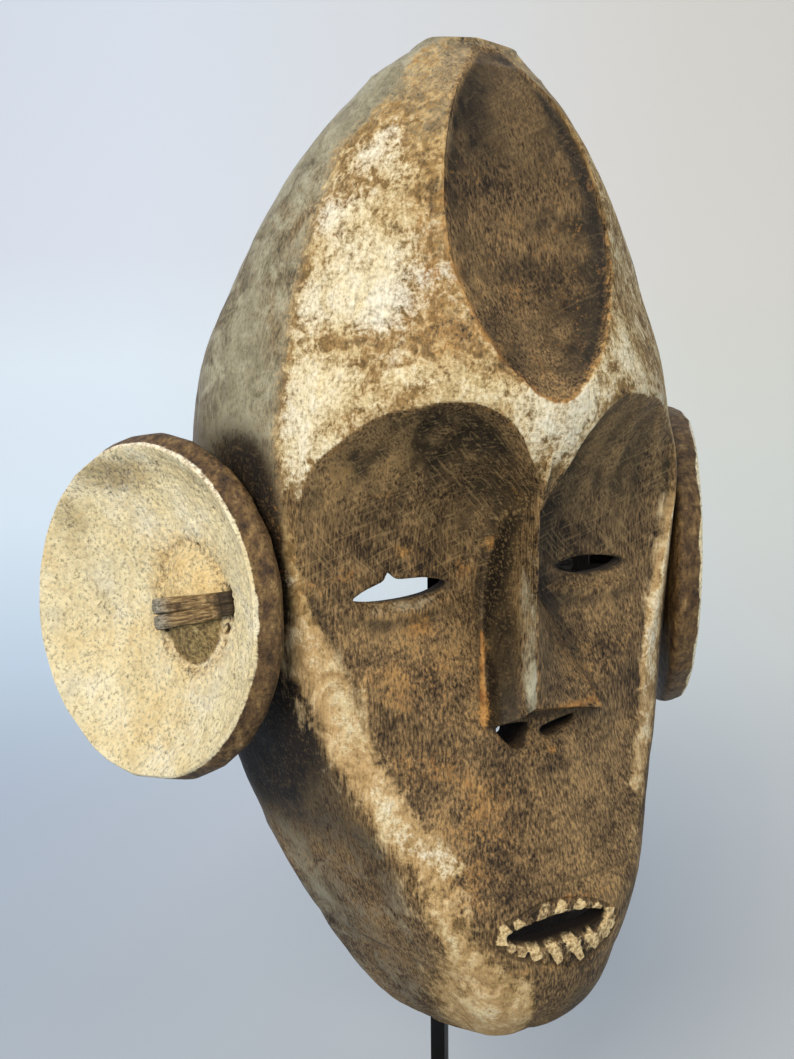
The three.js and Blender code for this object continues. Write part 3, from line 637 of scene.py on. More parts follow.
# The hollow behind, hacked out with an adze and open at the back
HOLLOW_LOW = -202
HOLLOW_HIGH = 138
HOLLOW_BACK = 80
HOLLOW_ROUND = 15
FACE_TOP = 41
NOSE_BACKING = 11
DEEPEST_BITE = 0.9
RIM_FLARE = 1.6
hollow_rows = np.linspace(HOLLOW_LOW, HOLLOW_HIGH, 190)
hollow_share = np.linspace(0, 1, 50)
rings = []
for half, high in zip(half_sections(hollow_rows)[0], hollow_rows):
    line = mirrored(half)
    run, even, soft = softened(line, 6)
    half_run = (even[-1] + even[0]) / 2 + hollow_share * even[-1] / 2
    side = points_at(half_run, even, soft + left_of(soft) * WALL)
    side[:, 0] = np.maximum(side[:, 0], np.arange(len(side)) * 0.1)
    if high < FACE_TOP:
        cut = face_depth(side[:, 0], np.full(len(side), high))
        side[:, 1] = np.maximum(side[:, 1], cut + WALL)
    if LEAF_TIP < high < LEAF_TOP + WALL:
        half_leaf = max(leaf_left(high), leaf_right(high))
        front = soft[len(soft) // 2:]
        behind_leaf = np.interp(half_leaf, front[:, 0], front[:, 1]) + LEAF_SCOOP + LEAF_LIP + WALL
        side[:, 1] = np.maximum(side[:, 1], np.where(side[:, 0] < half_leaf + 3, behind_leaf, FAR_FORWARD))
    behind_nose = np.exp(-(((side[:, 0] / 20) ** 2 + ((high + 84) / 14) ** 2)))
    side[:, 1] += NOSE_BACKING * behind_nose
    side[-1, 1] = HOLLOW_BACK
    ring = at_height(mirrored(side), high)
    # Rounded at the top and bottom
    for end in (HOLLOW_HIGH, HOLLOW_LOW):
        near = 1 - min(1, abs(end - high) / HOLLOW_ROUND)
        shrink = 1 - HOLLOW_ROUND * (1 - math.sqrt(1 - near * near)) / max(ring[:, 0].max(), HOLLOW_ROUND + 3)
        ring[:, 0] *= shrink
        ring[:, 1] = HOLLOW_BACK - (HOLLOW_BACK - ring[:, 1]) * (0.4 + 0.6 * shrink)
    rings.append(ring)
rings = np.array(rings)
bites = 0.9 * noise(rings, (13, 13, 30), 21) + 0.35 * noise(rings, (6, 6, 14), 22)
outwards = rings * (1, 1, 0) - (0, 40, 0)
outwards /= np.linalg.norm(outwards, axis=-1, keepdims=True)
rings[:, 1:-1] += (outwards * np.minimum(bites, DEEPEST_BITE)[..., None])[:, 1:-1]
near_rim = ramp(rings[..., 1], rim_y(rings[..., 2]) - 5, rim_y(rings[..., 2]) + 1)
rings[..., 0] += np.sign(rings[..., 0]) * near_rim * RIM_FLARE
cutters = [loft("hollow", rings)]


def pierced(name, outline, levels):
    """A hole from an outline, through levels of (depth, width scale, height scale, lift)."""
    line = rounded_outline(outline, 2)
    middle = line.mean(0)
    made = []
    for depth, wide, tall, lift in levels:
        placed = middle + (line - middle) * (wide, tall) + (0, lift)
        made.append(np.stack([placed[:, 0], np.full(len(placed), float(depth)), placed[:, 1]], -1))
    return loft(name, np.array(made))


eye_levels = [(-95, 1, 1, 0), (-27, 1, 1, 0), (-19, 1.1, 1.4, 0), (10, 1.15, 1.7, 0)]
nostril_levels = [(-95, 1, 1, 0), (-46, 1, 1, 0), (10, 0.9, 1, 3)]
mouth_levels = [(-95, 1.05, 1.15, 0), (-74, 1.01, 1.05, 0), (-69, 1, 0.85, 0.5), (-40, 1, 0.8, 0.6)]
for name, outline, levels in (
    ("right_eye", right_eye, eye_levels), ("left_eye", left_eye, eye_levels),
    ("right_nostril", right_nostril, nostril_levels), ("left_nostril", left_nostril, nostril_levels),
    ("mouth", mouth_slit, mouth_levels)):
    cutters.append(pierced(name, outline, levels))

# Seats and slots for the ears. Each dish: its side, radius, the middle of its rim, and its turn from the
# front and its tilt in degrees, since both were set by hand
EARS = {
    "right": (-1, 61.1, (-122.4, 22, -43.8), 63.4, 5.8),
    "left": (1, 62.8, (122.6, 26, -46.7), 61.3, -0.6),
}
PROFILE_RADIUS = 61.1
SEAT_PROFILE = [(64, 9.5), (54, 12.5), (40, 16.4), (20, 20), (0.4, 21)]
TIE_ROLL = math.radians(14.6)
# How far the boss and the tie stand towards the face and above the middle of the dish
BOSS_AT = (11.4, 1.9)
TIE_AT = (15.1, 1.8)
TIE_HALF_SPAN = 20.5
SLOT = (4.0, 13.6)
FIT = 0.3


def dish_axes(ear):
    """The directions of a dish's own frame: level, up and out along its axis."""
    side, _, _, turn, tilt = EARS[ear]
    turn, tilt = math.radians(turn), math.radians(tilt)
    out = np.array([side * math.sin(turn) * math.cos(tilt), -math.cos(turn) * math.cos(tilt), math.sin(tilt)])
    across = np.cross((0, 0, 1), out)
    across /= np.linalg.norm(across)
    return np.stack([across, np.cross(out, across), out])


def on_ear(ear, points):
    """Points of a dish's own frame in the mask's frame."""
    return points @ dish_axes(ear) + EARS[ear][2]


def in_dish_frame(ear, at):
    """Where points of the mask's frame lie in a dish's frame: level, upward and outward."""
    return ((at - EARS[ear][2]) @ dish_axes(ear).T).T


def along_tie(ear, x, y, middle):
    """Where points of the dish's frame lie along and across the tie, from a middle such as TIE_AT."""
    side = EARS[ear][0]
    roll = side * TIE_ROLL
    x, y = x + side * middle[0], y - middle[1]
    return x * math.cos(roll) - y * math.sin(roll), x * math.sin(roll) + y * math.cos(roll)


def on_tie(ear, points):
    """Points made about the middle of the tie, turned as it lies and placed in the dish's frame."""
    side = EARS[ear][0]
    roll = -side * TIE_ROLL
    turned = points @ np.array([
        [math.cos(roll), math.sin(roll), 0], [-math.sin(roll), math.cos(roll), 0], [0, 0, 1]])
    return turned + (-side * TIE_AT[0], TIE_AT[1], 0)


def askew(ear, depth):
    """How far a dish's edge and back are shifted across its face, since it was trimmed out of true."""
    amount = ramp(depth, 1, 7) * (ear == "right")
    return np.stack([2.0 * amount, 1.2 * amount], -1)


def tie_slots(ear):
    """The two slots that the tie goes through, right into the hollow."""
    made = []
    for end in (-1, 1):
        corners = np.array([(-1, -1), (1, -1), (1, 1), (-1, 1)]) / 2 * SLOT
        flat = rounded_outline(corners, 3) + (end * TIE_HALF_SPAN, 0)
        made.append(loft("slot", np.array([
            on_ear(ear, on_tie(ear, at_height(flat, depth))) for depth in (-90, 2)])))
    return made


around = np.linspace(0, 2 * np.pi, 96, endpoint=False)
for ear, (side, radius, *_) in EARS.items():
    cutters += tie_slots(ear)
    seat = [(r * radius / PROFILE_RADIUS, -depth - FIT) for r, depth in SEAT_PROFILE[::-1]]
    seat.append((seat[-1][0], 0))
    rings = []
    for r, depth in seat:
        shift = askew(ear, -depth)
        rings.append(on_ear(ear, np.stack([
            r * np.cos(around) + shift[0], r * np.sin(around) + shift[1], 0 * around + depth], -1)))
    cutters.append(loft("seat", np.array(rings)))


def settled(body):
    """Turns what a body's modifiers make of it into its mesh."""
    bpy.context.view_layer.update()
    result = bpy.data.meshes.new_from_object(body.evaluated_get(bpy.context.evaluated_depsgraph_get()))
    body.modifiers.clear()
    body.data = result


def combined(body, others, operation):
    """Cuts the others from the body, or joins them to it, and clears them away."""
    for other in others:
        step = body.modifiers.new("carve", "BOOLEAN")
        step.operation = operation
        step.solver = "MANIFOLD"
        step.object = other
    settled(body)
    for other in others:
        bpy.data.objects.remove(other)


def thinned(body, triangles):
    """Merges the flattest faces until about so many triangles are left; the carving keeps most of them."""
    count = sum(len(face.vertices) - 2 for face in body.data.polygons)
    if count > triangles:
        body.modifiers.new("thin", "DECIMATE").ratio = triangles / count
        settled(body)


def dressed(piece, material, sharp_from=None):
    """Smooth shading, but for edges sharper than an angle in degrees, and one material."""
    piece.data.polygons.foreach_set("use_smooth", [True] * len(piece.data.polygons))
    if sharp_from:
        piece.data.set_sharp_from_angle(angle=math.radians(sharp_from))
    piece.data.materials.clear()
    piece.data.materials.append(material)


MASK_TRIANGLES = 192000
combined(mask, cutters, "DIFFERENCE")
thinned(mask, MASK_TRIANGLES)

# Where each layer of colour lies. A patch is its middle (x, y, z), its half width, half height and strength,
# placed one by one against the photograph.
KAOLIN_PATCHES = [
    (-33, -56, 57, 17, 10.5, -0.5), (-20, -66, 50, 10.5, 8, -0.35), (-26, -46, 84, 8, 16, -0.3),
    (-44, -20, 117, 13, 5.5, 0.5), (-40, -32, 109, 6, 9, 0.45), (-51, -25, 96, 16, 10, 0.45),
    (-46, -37, 81, 7, 8, 0.45), (-60, -25, 70, 18, 13, 0.6), (-53, -33, 71, 11, 8, 0.45),
    (-51, -39, 62, 7, 6, 0.4), (-73, -27, 35, 13, 20, 0.75), (-61, -38, 45, 6, 5, 0.35),
    (-67, -33, 40, 8, 8, 0.4), (-36, -44, 91, 4, 13, 0.1), (-58, -36, 54, 18, 5, -0.4),
    (-49, -22, 105, 20, 4, -0.3), (-33, -31, 121, 6, 17, -0.35), (-36, -22, 126, 10, 10, 0.2),
    (-39, -53, 56, 15, 7, 0.12), (-42, -57, 44, 8, 6, 0.35), (-25, -65, 47, 8, 6, 0.45),
    (-28, -66, 39, 10, 5, 0.5), (-16, -70, 37, 9, 5, 0.4), (-9, -72, 31, 5, 6, 0.45),
    (-16, -68, 26, 8, 5, 0.4), (-7, -70, 20, 5, 7, 0.35), (10, -72, 37, 7, 11, 0.75),
    (36, -61, 43, 8, 9, 0.65), (32, -60, 52, 6, 8, 0.45), (5, -72, 26, 7, 7, 0.45), (2, -69, 16, 4, 9, 0.4),
    (-3, -67, 8, 3, 8, 0.15), (37, -45, 84, 4, 12, 0.25), (62, -19, 75, 5, 13, 0.35),
    (62, -30, 58, 5, 15, 0.25), (77, -26, -19, 3, 12, 0.55), (74, -28, -35, 3.5, 15, 0.6),
    (68, -32, -53, 4, 15, 0.6), (63, -35, -71, 4, 15, 0.55), (59, -40, -94, 4, 20, 0.45),
    (49, -51, -116, 5, 20, 0.35), (38, -63, -134, 5, 15, 0.2), (-78, -23, -31, 5, 13, 0.45),
    (-75, -27, -49, 8.5, 11, 0.75), (-68, -32, -62, 10, 10, 0.75), (-64, -35, -71, 10, 8, 0.6),
    (-62, -36, -80, 9, 6, 0.7), (-68, -33, -88, 7, 6, 0.35), (-61, -38, -88, 8, 7, 0.6),
    (-57, -43, -99, 8, 8, 0.55), (-54, -47, -107, 7, 6, 0.5), (-52, -50, -114, 8, 6, 0.65),
    (-45, -55, -121, 9, 5, 0.5), (-36, -59, -126, 7, 6, 0.8), (-48, -56, -135, 7, 5, 0.3),
    (-42, -61, -145, 5, 7, 0.55), (-37, -64, -153, 4, 7, 0.7), (-33, -65, -162, 4, 6, 0.45),
    (-38, -39, -178, 10, 7, 0.35), (-30, -48, -186, 13, 6, 0.35), (-25, -62, -183, 9, 6, 0.3),
    (2, -71, -139, 10, 2, 0.1), (-76, -29, 8, 4, 20, 0.3), (-79, -24, -9, 4, 20, 0.35),
    (-82, -9, 41, 5, 20, 0.1),
]
GREY_PATCHES = [
    (-58, -36, 54, 18, 6, 0.5), (-49, -22, 105, 21, 4.5, 0.4), (-33, -32, 121, 7, 18, 0.55),
    (-23, -36, 119, 5, 20, 0.4), (-89, 2, 30, 15, 25, 0.5), (-85, 6, 54, 15, 30, 0.3),
    (-63, 29, 103, 20, 30, 0.35), (-53, 24, 121, 20, 20, 0.3), (-44, -43, 68, 6, 6, 0.2),
    (-67, -36, 30, 15, 4, 0.3), (-46, -30, -40, 18, 4, 0.55), (-30, -30, -38, 10, 4, 0.5),
    (-63, -39, -98, 7, 5, 0.25), (-52, -46, -104, 6, 6, 0.35), (-65, -34, -65, 4, 4, 0.4),
    (-77, -25, -54, 4, 4, 0.3), (-70, 0, -139, 10, 15, 0.35), (-60, -4, -160, 10, 15, 0.35),
    (35, -55, 59, 4, 12, 0.5), (-7, -72, 29, 5, 7, 0.45), (-5, -55, -39, 6, 30, 0.6),
    (-6, -61, -66, 5, 15, 0.5), (-38, -62, 36, 15, 4, 0.2),
]
OCHRE_PATCHES = [
    (-36, -44, 91, 4.5, 15, 0.5), (-36, -48, 75, 4.5, 8, 0.35), (-33, -57, 57, 7, 9, 0.2),
    (-34, -51, 71, 7, 7, 0.2), (-40, -50, 61, 12, 7, 0.15), (-48, -49, 51, 15, 8, 0.15),
    (-28, -62, 52, 10, 5, 0.15), (-21, -69, 35, 10, 5, 0.25), (-37, -28, -20, 5, 3, 0.7),
    (-15, -30, -28, 5, 3.5, 0.7), (-7, -35, -19, 4, 3.5, 0.8), (-59, -27, -27, 6, 3.5, 0.55),
    (-34, -33, -47, 4.5, 3.5, 0.75), (-71, -26, -31, 4.5, 4, 0.5), (-47, -31, 1, 11, 1.5, 0.6),
    (-5, -51, 1, 2.5, 5, 0.5), (-4, -56, -6, 2.5, 5, 0.6), (-5, -46, -13, 3, 4, 0.5),
    (-32, -36, -55, 15, 15, 0.25), (-45, -39, -71, 8, 13, 0.35), (-34, -49, -96, 13, 10, 0.4),
    (-28, -60, -122, 13, 15, 0.3), (-72, -29, -80, 7, 10, 0.4), (-77, -23, -67, 5, 15, 0.35),
    (-77, -10, -106, 8, 10, 0.2), (-8, -61, -110, 15, 15, 0.3), (16, -47, -58, 7, 20, 0.2),
    (31, -40, -66, 5, 13, 0.3), (-22, -56, -106, 10, 15, 0.25), (-47, -44, -94, 5, 10, 0.3),
    (8, -54, -93, 2.5, 1.5, 1.2), (16, -54, -77, 16, 1.6, 1.2), (12, -72, -142, 13, 2, 0.6),
    (-2, -74, -165, 20, 1.5, 0.5), (-35, -65, -136, 10, 10, 0.35), (-30, -68, -159, 10, 10, 0.3),
    (-34, -48, -178, 15, 6, 0.3), (-83, -19, 1, 4, 20, 0.3),
]
# Soot patches, and painted shadow of the near dish on the side beside it
SOOT_AND_SHADE_PATCHES = [
    (-77, -29, 5, 6, 12, 0.55), (-46, -53, 29, 18, 8, 0.5), (-16, -59, 21, 11, 8, 0.4),
    (-68, -37, 20, 10, 10, 0.35), (-37, -42, 16, 25, 8, 0.3), (20, -29, -29, 4, 20, 0.3),
    (-87, -9, 10, 11, 20, 0.5), (-85, -14, -21, 6, 25, 0.6), (-83, -16, -50, 4, 30, 0.7),
    (-82, -11, -82, 5, 30, 0.7), (-77, -5, -111, 9, 15, 0.5), (-9, -23, 141, 8, 20, 0.35),
    (-14, -31, 127, 7, 25, 0.3), (29, -47, 84, 5, 40, 0.3), (11, -41, 92, 12, 8, 0.35),
    (12, -50, 67, 10, 10, 0.25), (52, -30, -1, 20, 15, 0.25), (24, -31, -6, 5, 20, 0.3),
    (45, -28, -24, 15, 6, 0.3), (4, -53, -89, 20, 5, 0.3), (-49, -33, -50, 4, 10, 0.2),
    (-55, -12, -165, 20, 12, 0.2), (3, -71, -181, 20, 7, 0.3), (-4, -52, -88, 5, 5, 0.3),
]
MASK_SPREAD = 0.98
DISH_SPREAD = 1.3


def patched(at, patches, spread=MASK_SPREAD):
    """The sum of soft patches at points; their widths are taken times the spread."""
    total = np.zeros(len(at))
    for *middle, wide, tall, strength in patches:
        shares = (at - middle) / (spread * np.array([wide, wide, tall]))
        total += strength * np.exp(-(shares ** 2).sum(1))
    return total


def store(piece, name, values):
    """Keeps one number for each vertex of a piece, to be read by its material."""
    made = piece.data.attributes.new(name, "FLOAT", "POINT")
    made.data.foreach_set("value", np.asarray(values, np.float32))


def vertex_places(piece):
    """The vertices of a piece in the mask's frame."""
    places = np.empty(3 * len(piece.data.vertices))
    piece.data.vertices.foreach_get("co", places)
    return places.reshape(-1, 3) / MM - ROOT


# Each vertex takes what is known of the nearest point of the outside's grid
skin = grid[:, worked]
bulge = ((skin - blurred(blurred(skin, 4, 0), 4, 1)) * normal[:, worked]).sum(-1)
uncarved = hull[:, faced, 1]
socket_cut = deeper(uncarved, face, 0.5)
in_front = slice(faced.start - worked.start, faced.stop - worked.start)
sunk, on_nose, teeth, off_teeth_ring = (np.full(skin.shape[:2], far) for far in (0.0, 0.0, 0.0, 30.0))
sunk[:, in_front] = socket_cut - uncarved
on_nose[:, in_front] = ramp(socket_cut - nose, 0.4, 1.6)
teeth[:, in_front] = tooth_white
off_teeth_ring[:, in_front] = ring_gap
skin_points, skin_normals = skin.reshape(-1, 3), normal[:, worked].reshape(-1, 3)
lookup = kdtree.KDTree(len(skin_points))
for i, spot in enumerate(skin_points):
    lookup.insert(spot, i)
lookup.balance()
at = vertex_places(mask)
found = [lookup.find(spot) for spot in at]
nearest = np.array([hit[1] for hit in found])
inward = ((skin_points[nearest] - at) * skin_normals[nearest]).sum(-1)
outer = ramp(inward, 0.9, 0.35) * ramp(np.array([hit[2] for hit in found]), 3, 2)
bulge, sunk, on_nose, teeth, off_teeth_ring = (
    values.ravel()[nearest] for values in (bulge, sunk, on_nose, teeth, off_teeth_ring))

# The mask's regions, each from 0 outside it to 1 well inside it
x, y, z = at.T
in_leaf = np.where(y < 0, -off_outline(x, z, leaf_outline), -20)
socket = ramp(sunk, 0.1, 0.9)
low = ramp(z, -35, -75)
past_ridge = np.abs(x) - ridge_x(z)
side_plane = ramp(past_ridge / (1 + 0.8 * low), -5, 3)
forehead = ramp(z, -12, 18) * (1 - side_plane) * (1 - socket)
chin_left = ramp(z, -150, -190) * ramp(x, -2, -12) * ramp(past_ridge, 14, 0)
# Painted shadow of the dishes on the sides round them, strongest towards the front
painted_ear_shadow = np.zeros(len(at))
for ear in EARS:
    level, above, out = in_dish_frame(ear, at)
    ear_shadow_reach = ramp(np.hypot(level, above), 92, 64) ** 1.5 * ramp(out, -55, -30)
    painted_ear_shadow = np.maximum(painted_ear_shadow, ear_shadow_reach)
painted_ear_shadow *= (1 - 0.6 * ramp(y, -8, 20) * ramp(z, -25, 5)) * ramp(past_ridge, -9, 2)
# Kaolin still lies along the turn from the face to the side of each cheek, widest on the right
band_in = np.where(
    x < 0,
    through((-215, 6), (-180, 7), (-150, 7), (-125, 12), (-100, 8), (-60, 6.5), (-20, 4), (20, 1))(z),
    through((-150, 12), (-116, 10), (-94, 9), (-71, 11), (-53, 11), (-35, 8), (-19, 6), (20, 3))(z))
band_half = np.where(
    x < 0,
    through((-215, 11), (-150, 10), (-125, 11), (-100, 10), (-75, 11), (-50, 10), (-20, 5), (20, 4))(z), 7)
band = np.exp(-(((past_ridge + band_in) / band_half) ** 2)) * ramp(z, 8, -16)
band *= np.where(x < 0, 1, ramp(z, -160, -110))
# On the nose: 0 at its right foot, 1 on the bridge line
nose_share = (x - nose_right(z)) / (nose_ridge(z) - nose_right(z))
on_facet = on_nose * ramp(nose_share, 0, 0.1) * ramp(nose_share, 1.03, 0.98) * ramp(z, 2, -14)

# Each layer's cover: at 0.5 it lies on half of the wood, and below about -0.5 nowhere
kaolin_dabs = patched(at, KAOLIN_PATCHES)
kaolin = -1.0 + 1.2 * forehead * ramp(z, 160, 105) + kaolin_dabs * (1.1 + 0.3 * ramp(z, 5, -15))
kaolin += band * np.where(x < 0, 0.05 + 0.4 * ramp(z, -80, -120), 0.85) + 0.5 * chin_left - 0.3 * side_plane
kaolin -= 1.4 * ramp(in_leaf, -1.2, 0.6) + 0.6 * socket * ramp(z, -55, -30)
kaolin -= 0.25 * ramp(in_leaf, -9, -1) * ramp(z, 60, 100) * (x < 0)
rubbed = -0.6 + band * (1.4 - 0.4 * ramp(z, -98, -125)) * np.where(x < 0, ramp(z, -30, -52), 1)
rubbed += 0.95 * chin_left + 0.4 * kaolin_dabs * ramp(z, 5, -15)
stain = -0.7 + 1.6 * forehead + 0.9 * kaolin_dabs + 1.9 * chin_left + 1.4 * band
stain -= 1.8 * ramp(in_leaf, -0.8, 0.8) + 0.45 * ramp(z, 115, 145) + 0.5 * socket * ramp(z, -55, -30)
# Painted light: stain lightens the nose's right facet, which faces away from the lamps
stain += 0.45 * on_nose * ramp(nose_share, 1.03, 1.15)
# Grey from handling on the sides, with a painted cool sheen over it
grey_and_sheen_on_sides = ramp(past_ridge, -9, -1) * (1 - low) + side_plane * low
grey = -0.3 + grey_and_sheen_on_sides * (0.85 - 0.4 * low) + 1.3 * patched(at, GREY_PATCHES) - 0.3 * socket - 0.2 * on_nose
grey += 0.9 * ramp(z, 108, 135) * ramp(in_leaf, 0, -1.5)
# Painted sheen on the nose's facet along its bridge
grey += on_facet * ramp(nose_share, 0.45, 0.9) * (0.65 + 0.4 * ramp(z, -15, -60))
brow_line = np.exp(-(((sunk - 0.35) / 0.5) ** 2)) * ramp(z, -50, -20)
leaf_line = np.exp(-(((in_leaf + 0.4) / 1.15) ** 2)) * ramp(z, 150, 60) * (1 - 0.5 * ramp(x, 5, 20))
nose_line = np.exp(-(((nose_share + 0.02) / 0.08) ** 2)) * ramp(z, -10, -24) * ramp(z, -84, -80) * (y < -35)
ochre = -0.3 - 0.25 * ramp(z, 105, 130) + patched(at, OCHRE_PATCHES)
ochre += 0.6 * leaf_line + 0.35 * brow_line + 1.5 * nose_line
ochre += 0.2 * np.clip(bulge / 0.25, 0, 1) * np.maximum(socket, 0.5 * ramp(in_leaf, -1, 1))
ochre += 0.14 * socket * ramp(z, -45, -65) - 0.5 * side_plane - 0.7 * on_facet
soot = -0.3 + patched(at, SOOT_AND_SHADE_PATCHES) + 0.18 * socket * ramp(z, -60, -20)
soot += 0.25 * ramp(in_leaf, 0, 2) + 0.55 * ramp(in_leaf, 0, 3) * ramp(z, 75, 130)
# Painted shadow line just inside the leaf's right edge
soot += 0.6 * np.exp(-(((in_leaf - 1.2) / 1.1) ** 2)) * ramp(x, 5, 18)
# Soot in the hollows, and painted shade on the nose's facet away from its bridge
soot += 0.8 * np.clip(-bulge / 0.3, 0, 1) + 1.1 * on_facet * ramp(nose_share, 0.8, 0.35)
# Painted shadow of the dishes, and the lower sides darker
soot += 1.95 * painted_ear_shadow + side_plane * low * (0.85 - 0.45 * ramp(z, -115, -150))
soot += 0.8 * ramp(z, -160, -195) * ramp(x, 2, 16)
soot += 0.6 * ramp(off_teeth_ring, -1.2, -2.6) * (1 - ramp(teeth, 0.1, 0.4))
# Painted shade: inside the hollow, round the mouth and nostrils, the wood is darkened nearly to black
near_hole = np.minimum.reduce([off_outline(x, z, hole) for hole in (mouth_slit, right_nostril, left_nostril)])
for values, name in (
    (ramp(near_hole, 9, 3) * (1 - outer), "hole"), (kaolin, "kaolin"), (rubbed, "rubbed"), (stain, "stain"),
    (grey, "grey_film"), (ochre, "ochre"), (soot, "soot"), (teeth, "tooth"), (outer, "outside"),
    (0.07 + 0.16 * socket * ramp(z, -60, -15), "scratched")):
    store(mask, name, values)

# Dry kaolin rubbed over smoked wood: chalky cream with dark pinholes where it has flaked, over brown wood
# with a fine upright grain, grey from handling on the sides under a painted cool sheen that also lies along
# the nose's bridge, rubbed back to orange-brown on every edge, and darkened by painted shade beside the dishes
# and round the holes.
# Chalk is dead matt and the handled wood has a soft sheen. Pattern sizes are in millimetres; the finest grain
# is drawn 0.8 mm wide, twice its real size, so that it shows from the camera.
PER_METRE = 1000
wood, tree = new_material("kaolin_rubbed_on_smoked_wood")
place = node(tree, "TexCoord", out="Object")
upright_place = node(tree, "Mapping", {"Vector": place, "Scale": (1, 1, 0.08)})
short_place = node(tree, "Mapping", {"Vector": place, "Scale": (1, 1, 0.22)})


def pattern(vector, size, detail, roughness=0.6, **more):
    """Settings of a noise texture whose lumps are size millimetres wide."""
    return {"Vector": vector, "Scale": PER_METRE / size, "Detail": detail, "Roughness": roughness, **more}


grain = node(tree, "TexNoise", pattern(short_place, 0.8, 3.0, 0.65))
speckle = node(tree, "TexNoise", pattern(place, 1.4, 2.0, 0.7))
mottle = node(tree, "TexNoise", pattern(place, 4.2, 3.0, Distortion=0.8))
blotch = node(tree, "TexNoise", pattern(place, 11, 5.0, 0.62, Distortion=0.9))
cloud = node(tree, "TexNoise", pattern(place, 30, 3.0, 0.5))
streak = node(tree, "TexNoise", pattern(upright_place, 3.2, 4.0))


def laid_on(tree, colour, rough, cover, need, breaks, soft, shade, tints, roughness, held=None):
    """Lays a layer on what lies below, where its attribute, broken up by patterns of some strength, passes its
    need. Gives the new colour and roughness, and the layer's share."""
    amount = node(tree, "Attribute", attribute_name=cover, out="Fac")
    middle = need
    for broken_by, strength in breaks:
        amount = node(tree, "Math", {0: broken_by, 1: strength, 2: amount}, operation="MULTIPLY_ADD")
        middle += strength / 2
    share = node(tree, "MapRange", {0: amount, 1: middle - soft, 2: middle + soft})
    if held is not None:
        share = node(tree, "Math", {0: share, 1: held}, operation="MULTIPLY")
    tint = node(tree, "ValToRGB", {"Fac": shade}, stops=tints)
    colour = node(tree, "Mix", {0: share, 6: colour, 7: tint}, data_type="RGBA", out=2)
    rough = node(tree, "Mix", {0: share, 2: rough, 3: roughness})
    return colour, rough, share


body = node(tree, "Mix", {0: 0.34, 2: grain, 3: blotch})
body = node(tree, "Mix", {0: 0.3, 2: body, 3: cloud})
colour = node(tree, "ValToRGB", {"Fac": body}, stops=[
    (0.41, "#2a2015"), (0.47, "#56442c"), (0.53, "#786243"), (0.6, "#a08357")])
rough = 0.6
height = grain
KAOLIN_RELIEF = 0.8
# Each layer: its attribute, the cover at which it half shows, the patterns that break it up and how strongly,
# its softness, the pattern and colours of its shades, and its roughness
for layer in [
    # Grey film, with a painted sheen on the sides and along the nose's bridge
    ("grey_film", 0.5, ((blotch, 1.6), (streak, 0.8), (grain, 0.6)), 0.4, blotch,
     [(0.3, "#6f6a56"), (0.5, "#918c76"), (0.7, "#aaa893")], 0.5),
    # Stain, which also paints light on the nose's right facet
    ("stain", 0.5, ((blotch, 2.2), (speckle, 1.4), (streak, 1.0)), 0.4, mottle,
     [(0.34, "#6f5a38"), (0.46, "#94784c"), (0.6, "#b99f70")], 0.8),
    ("soot", 0.5, ((blotch, 1.4), (grain, 1.0), (speckle, 0.8)), 0.4, streak,
     [(0.3, "#1c160e"), (0.7, "#4d412d")], 0.5),
    # Near-black where soot and shade run highest, mostly the painted shadows of the dishes
    ("soot", 0.95, ((blotch, 0.9), (streak, 0.8)), 0.5, streak, [(0.3, "#0f0b07"), (0.7, "#221a12")], 0.6),
    ("ochre", 0.5, ((blotch, 1.6), (speckle, 1.4), (grain, 0.8)), 0.45, streak,
     [(0.35, "#85582a"), (0.6, "#b4884d")], 0.55),
    ("rubbed", 0.5, ((blotch, 2.0), (mottle, 0.9), (streak, 1.1), (grain, 0.9)), 0.45, blotch,
     [(0.36, "#a3875c"), (0.5, "#bda073"), (0.64, "#d6c096")], 0.85),
    ("kaolin", 0.5, ((blotch, 3.0), (mottle, 1.6), (speckle, 1.4)), 0.42, cloud,
     [(0.3, "#c9b688"), (0.5, "#d8caa3"), (0.68, "#d8d3c1")], 0.92),
    ("kaolin", 0.95, ((mottle, 2.0), (cloud, 1.6), (speckle, 1.6)), 0.65, blotch,
     [(0.35, "#e1d5b0"), (0.6, "#e6e3d3")], 0.92),
    ("tooth", 0.5, ((speckle, 0.9),), 0.25, speckle, [(0.3, "#97794c"), (0.62, "#dcc697")], 0.85),
]:
    colour, rough, share = laid_on(tree, colour, rough, *layer)
    if layer[0] == "kaolin":
        height = node(tree, "Math", {0: share, 1: KAOLIN_RELIEF, 2: height}, operation="MULTIPLY_ADD")
# Fibres and pores darken every layer a little
pores = node(tree, "Mix", {0: 0.5, 2: grain, 3: speckle})
pores = node(tree, "ValToRGB", {"Fac": pores}, stops=[(0.36, 0.45), (0.5, 0.95), (0.64, 1.2)])
colour = node(tree, "Mix", {0: 0.7, 6: colour, 7: pores}, data_type="RGBA", blend_type="MULTIPLY", out=2)
# Fine scratches in two directions, mostly in the sockets
scratch_share = node(tree, "Attribute", attribute_name="scratched", out="Fac")
for turn in (0.35, -0.85):
    turned = node(tree, "Mapping", {"Vector": place, "Rotation": (0, turn, 0)})
    drawn_out = node(tree, "Mapping", {"Vector": turned, "Scale": (0.06, 0.5, 1)})
    line = node(tree, "TexNoise", pattern(drawn_out, 0.9, 2.0, 0.5, Distortion=0.5))
    line = node(tree, "MapRange", {0: line, 1: 0.57, 2: 0.66})
    line = node(tree, "Math", {0: line, 1: scratch_share}, operation="MULTIPLY")
    colour = node(tree, "Mix", {0: line, 6: colour, 7: linear("#b59a6c")}, data_type="RGBA", out=2)
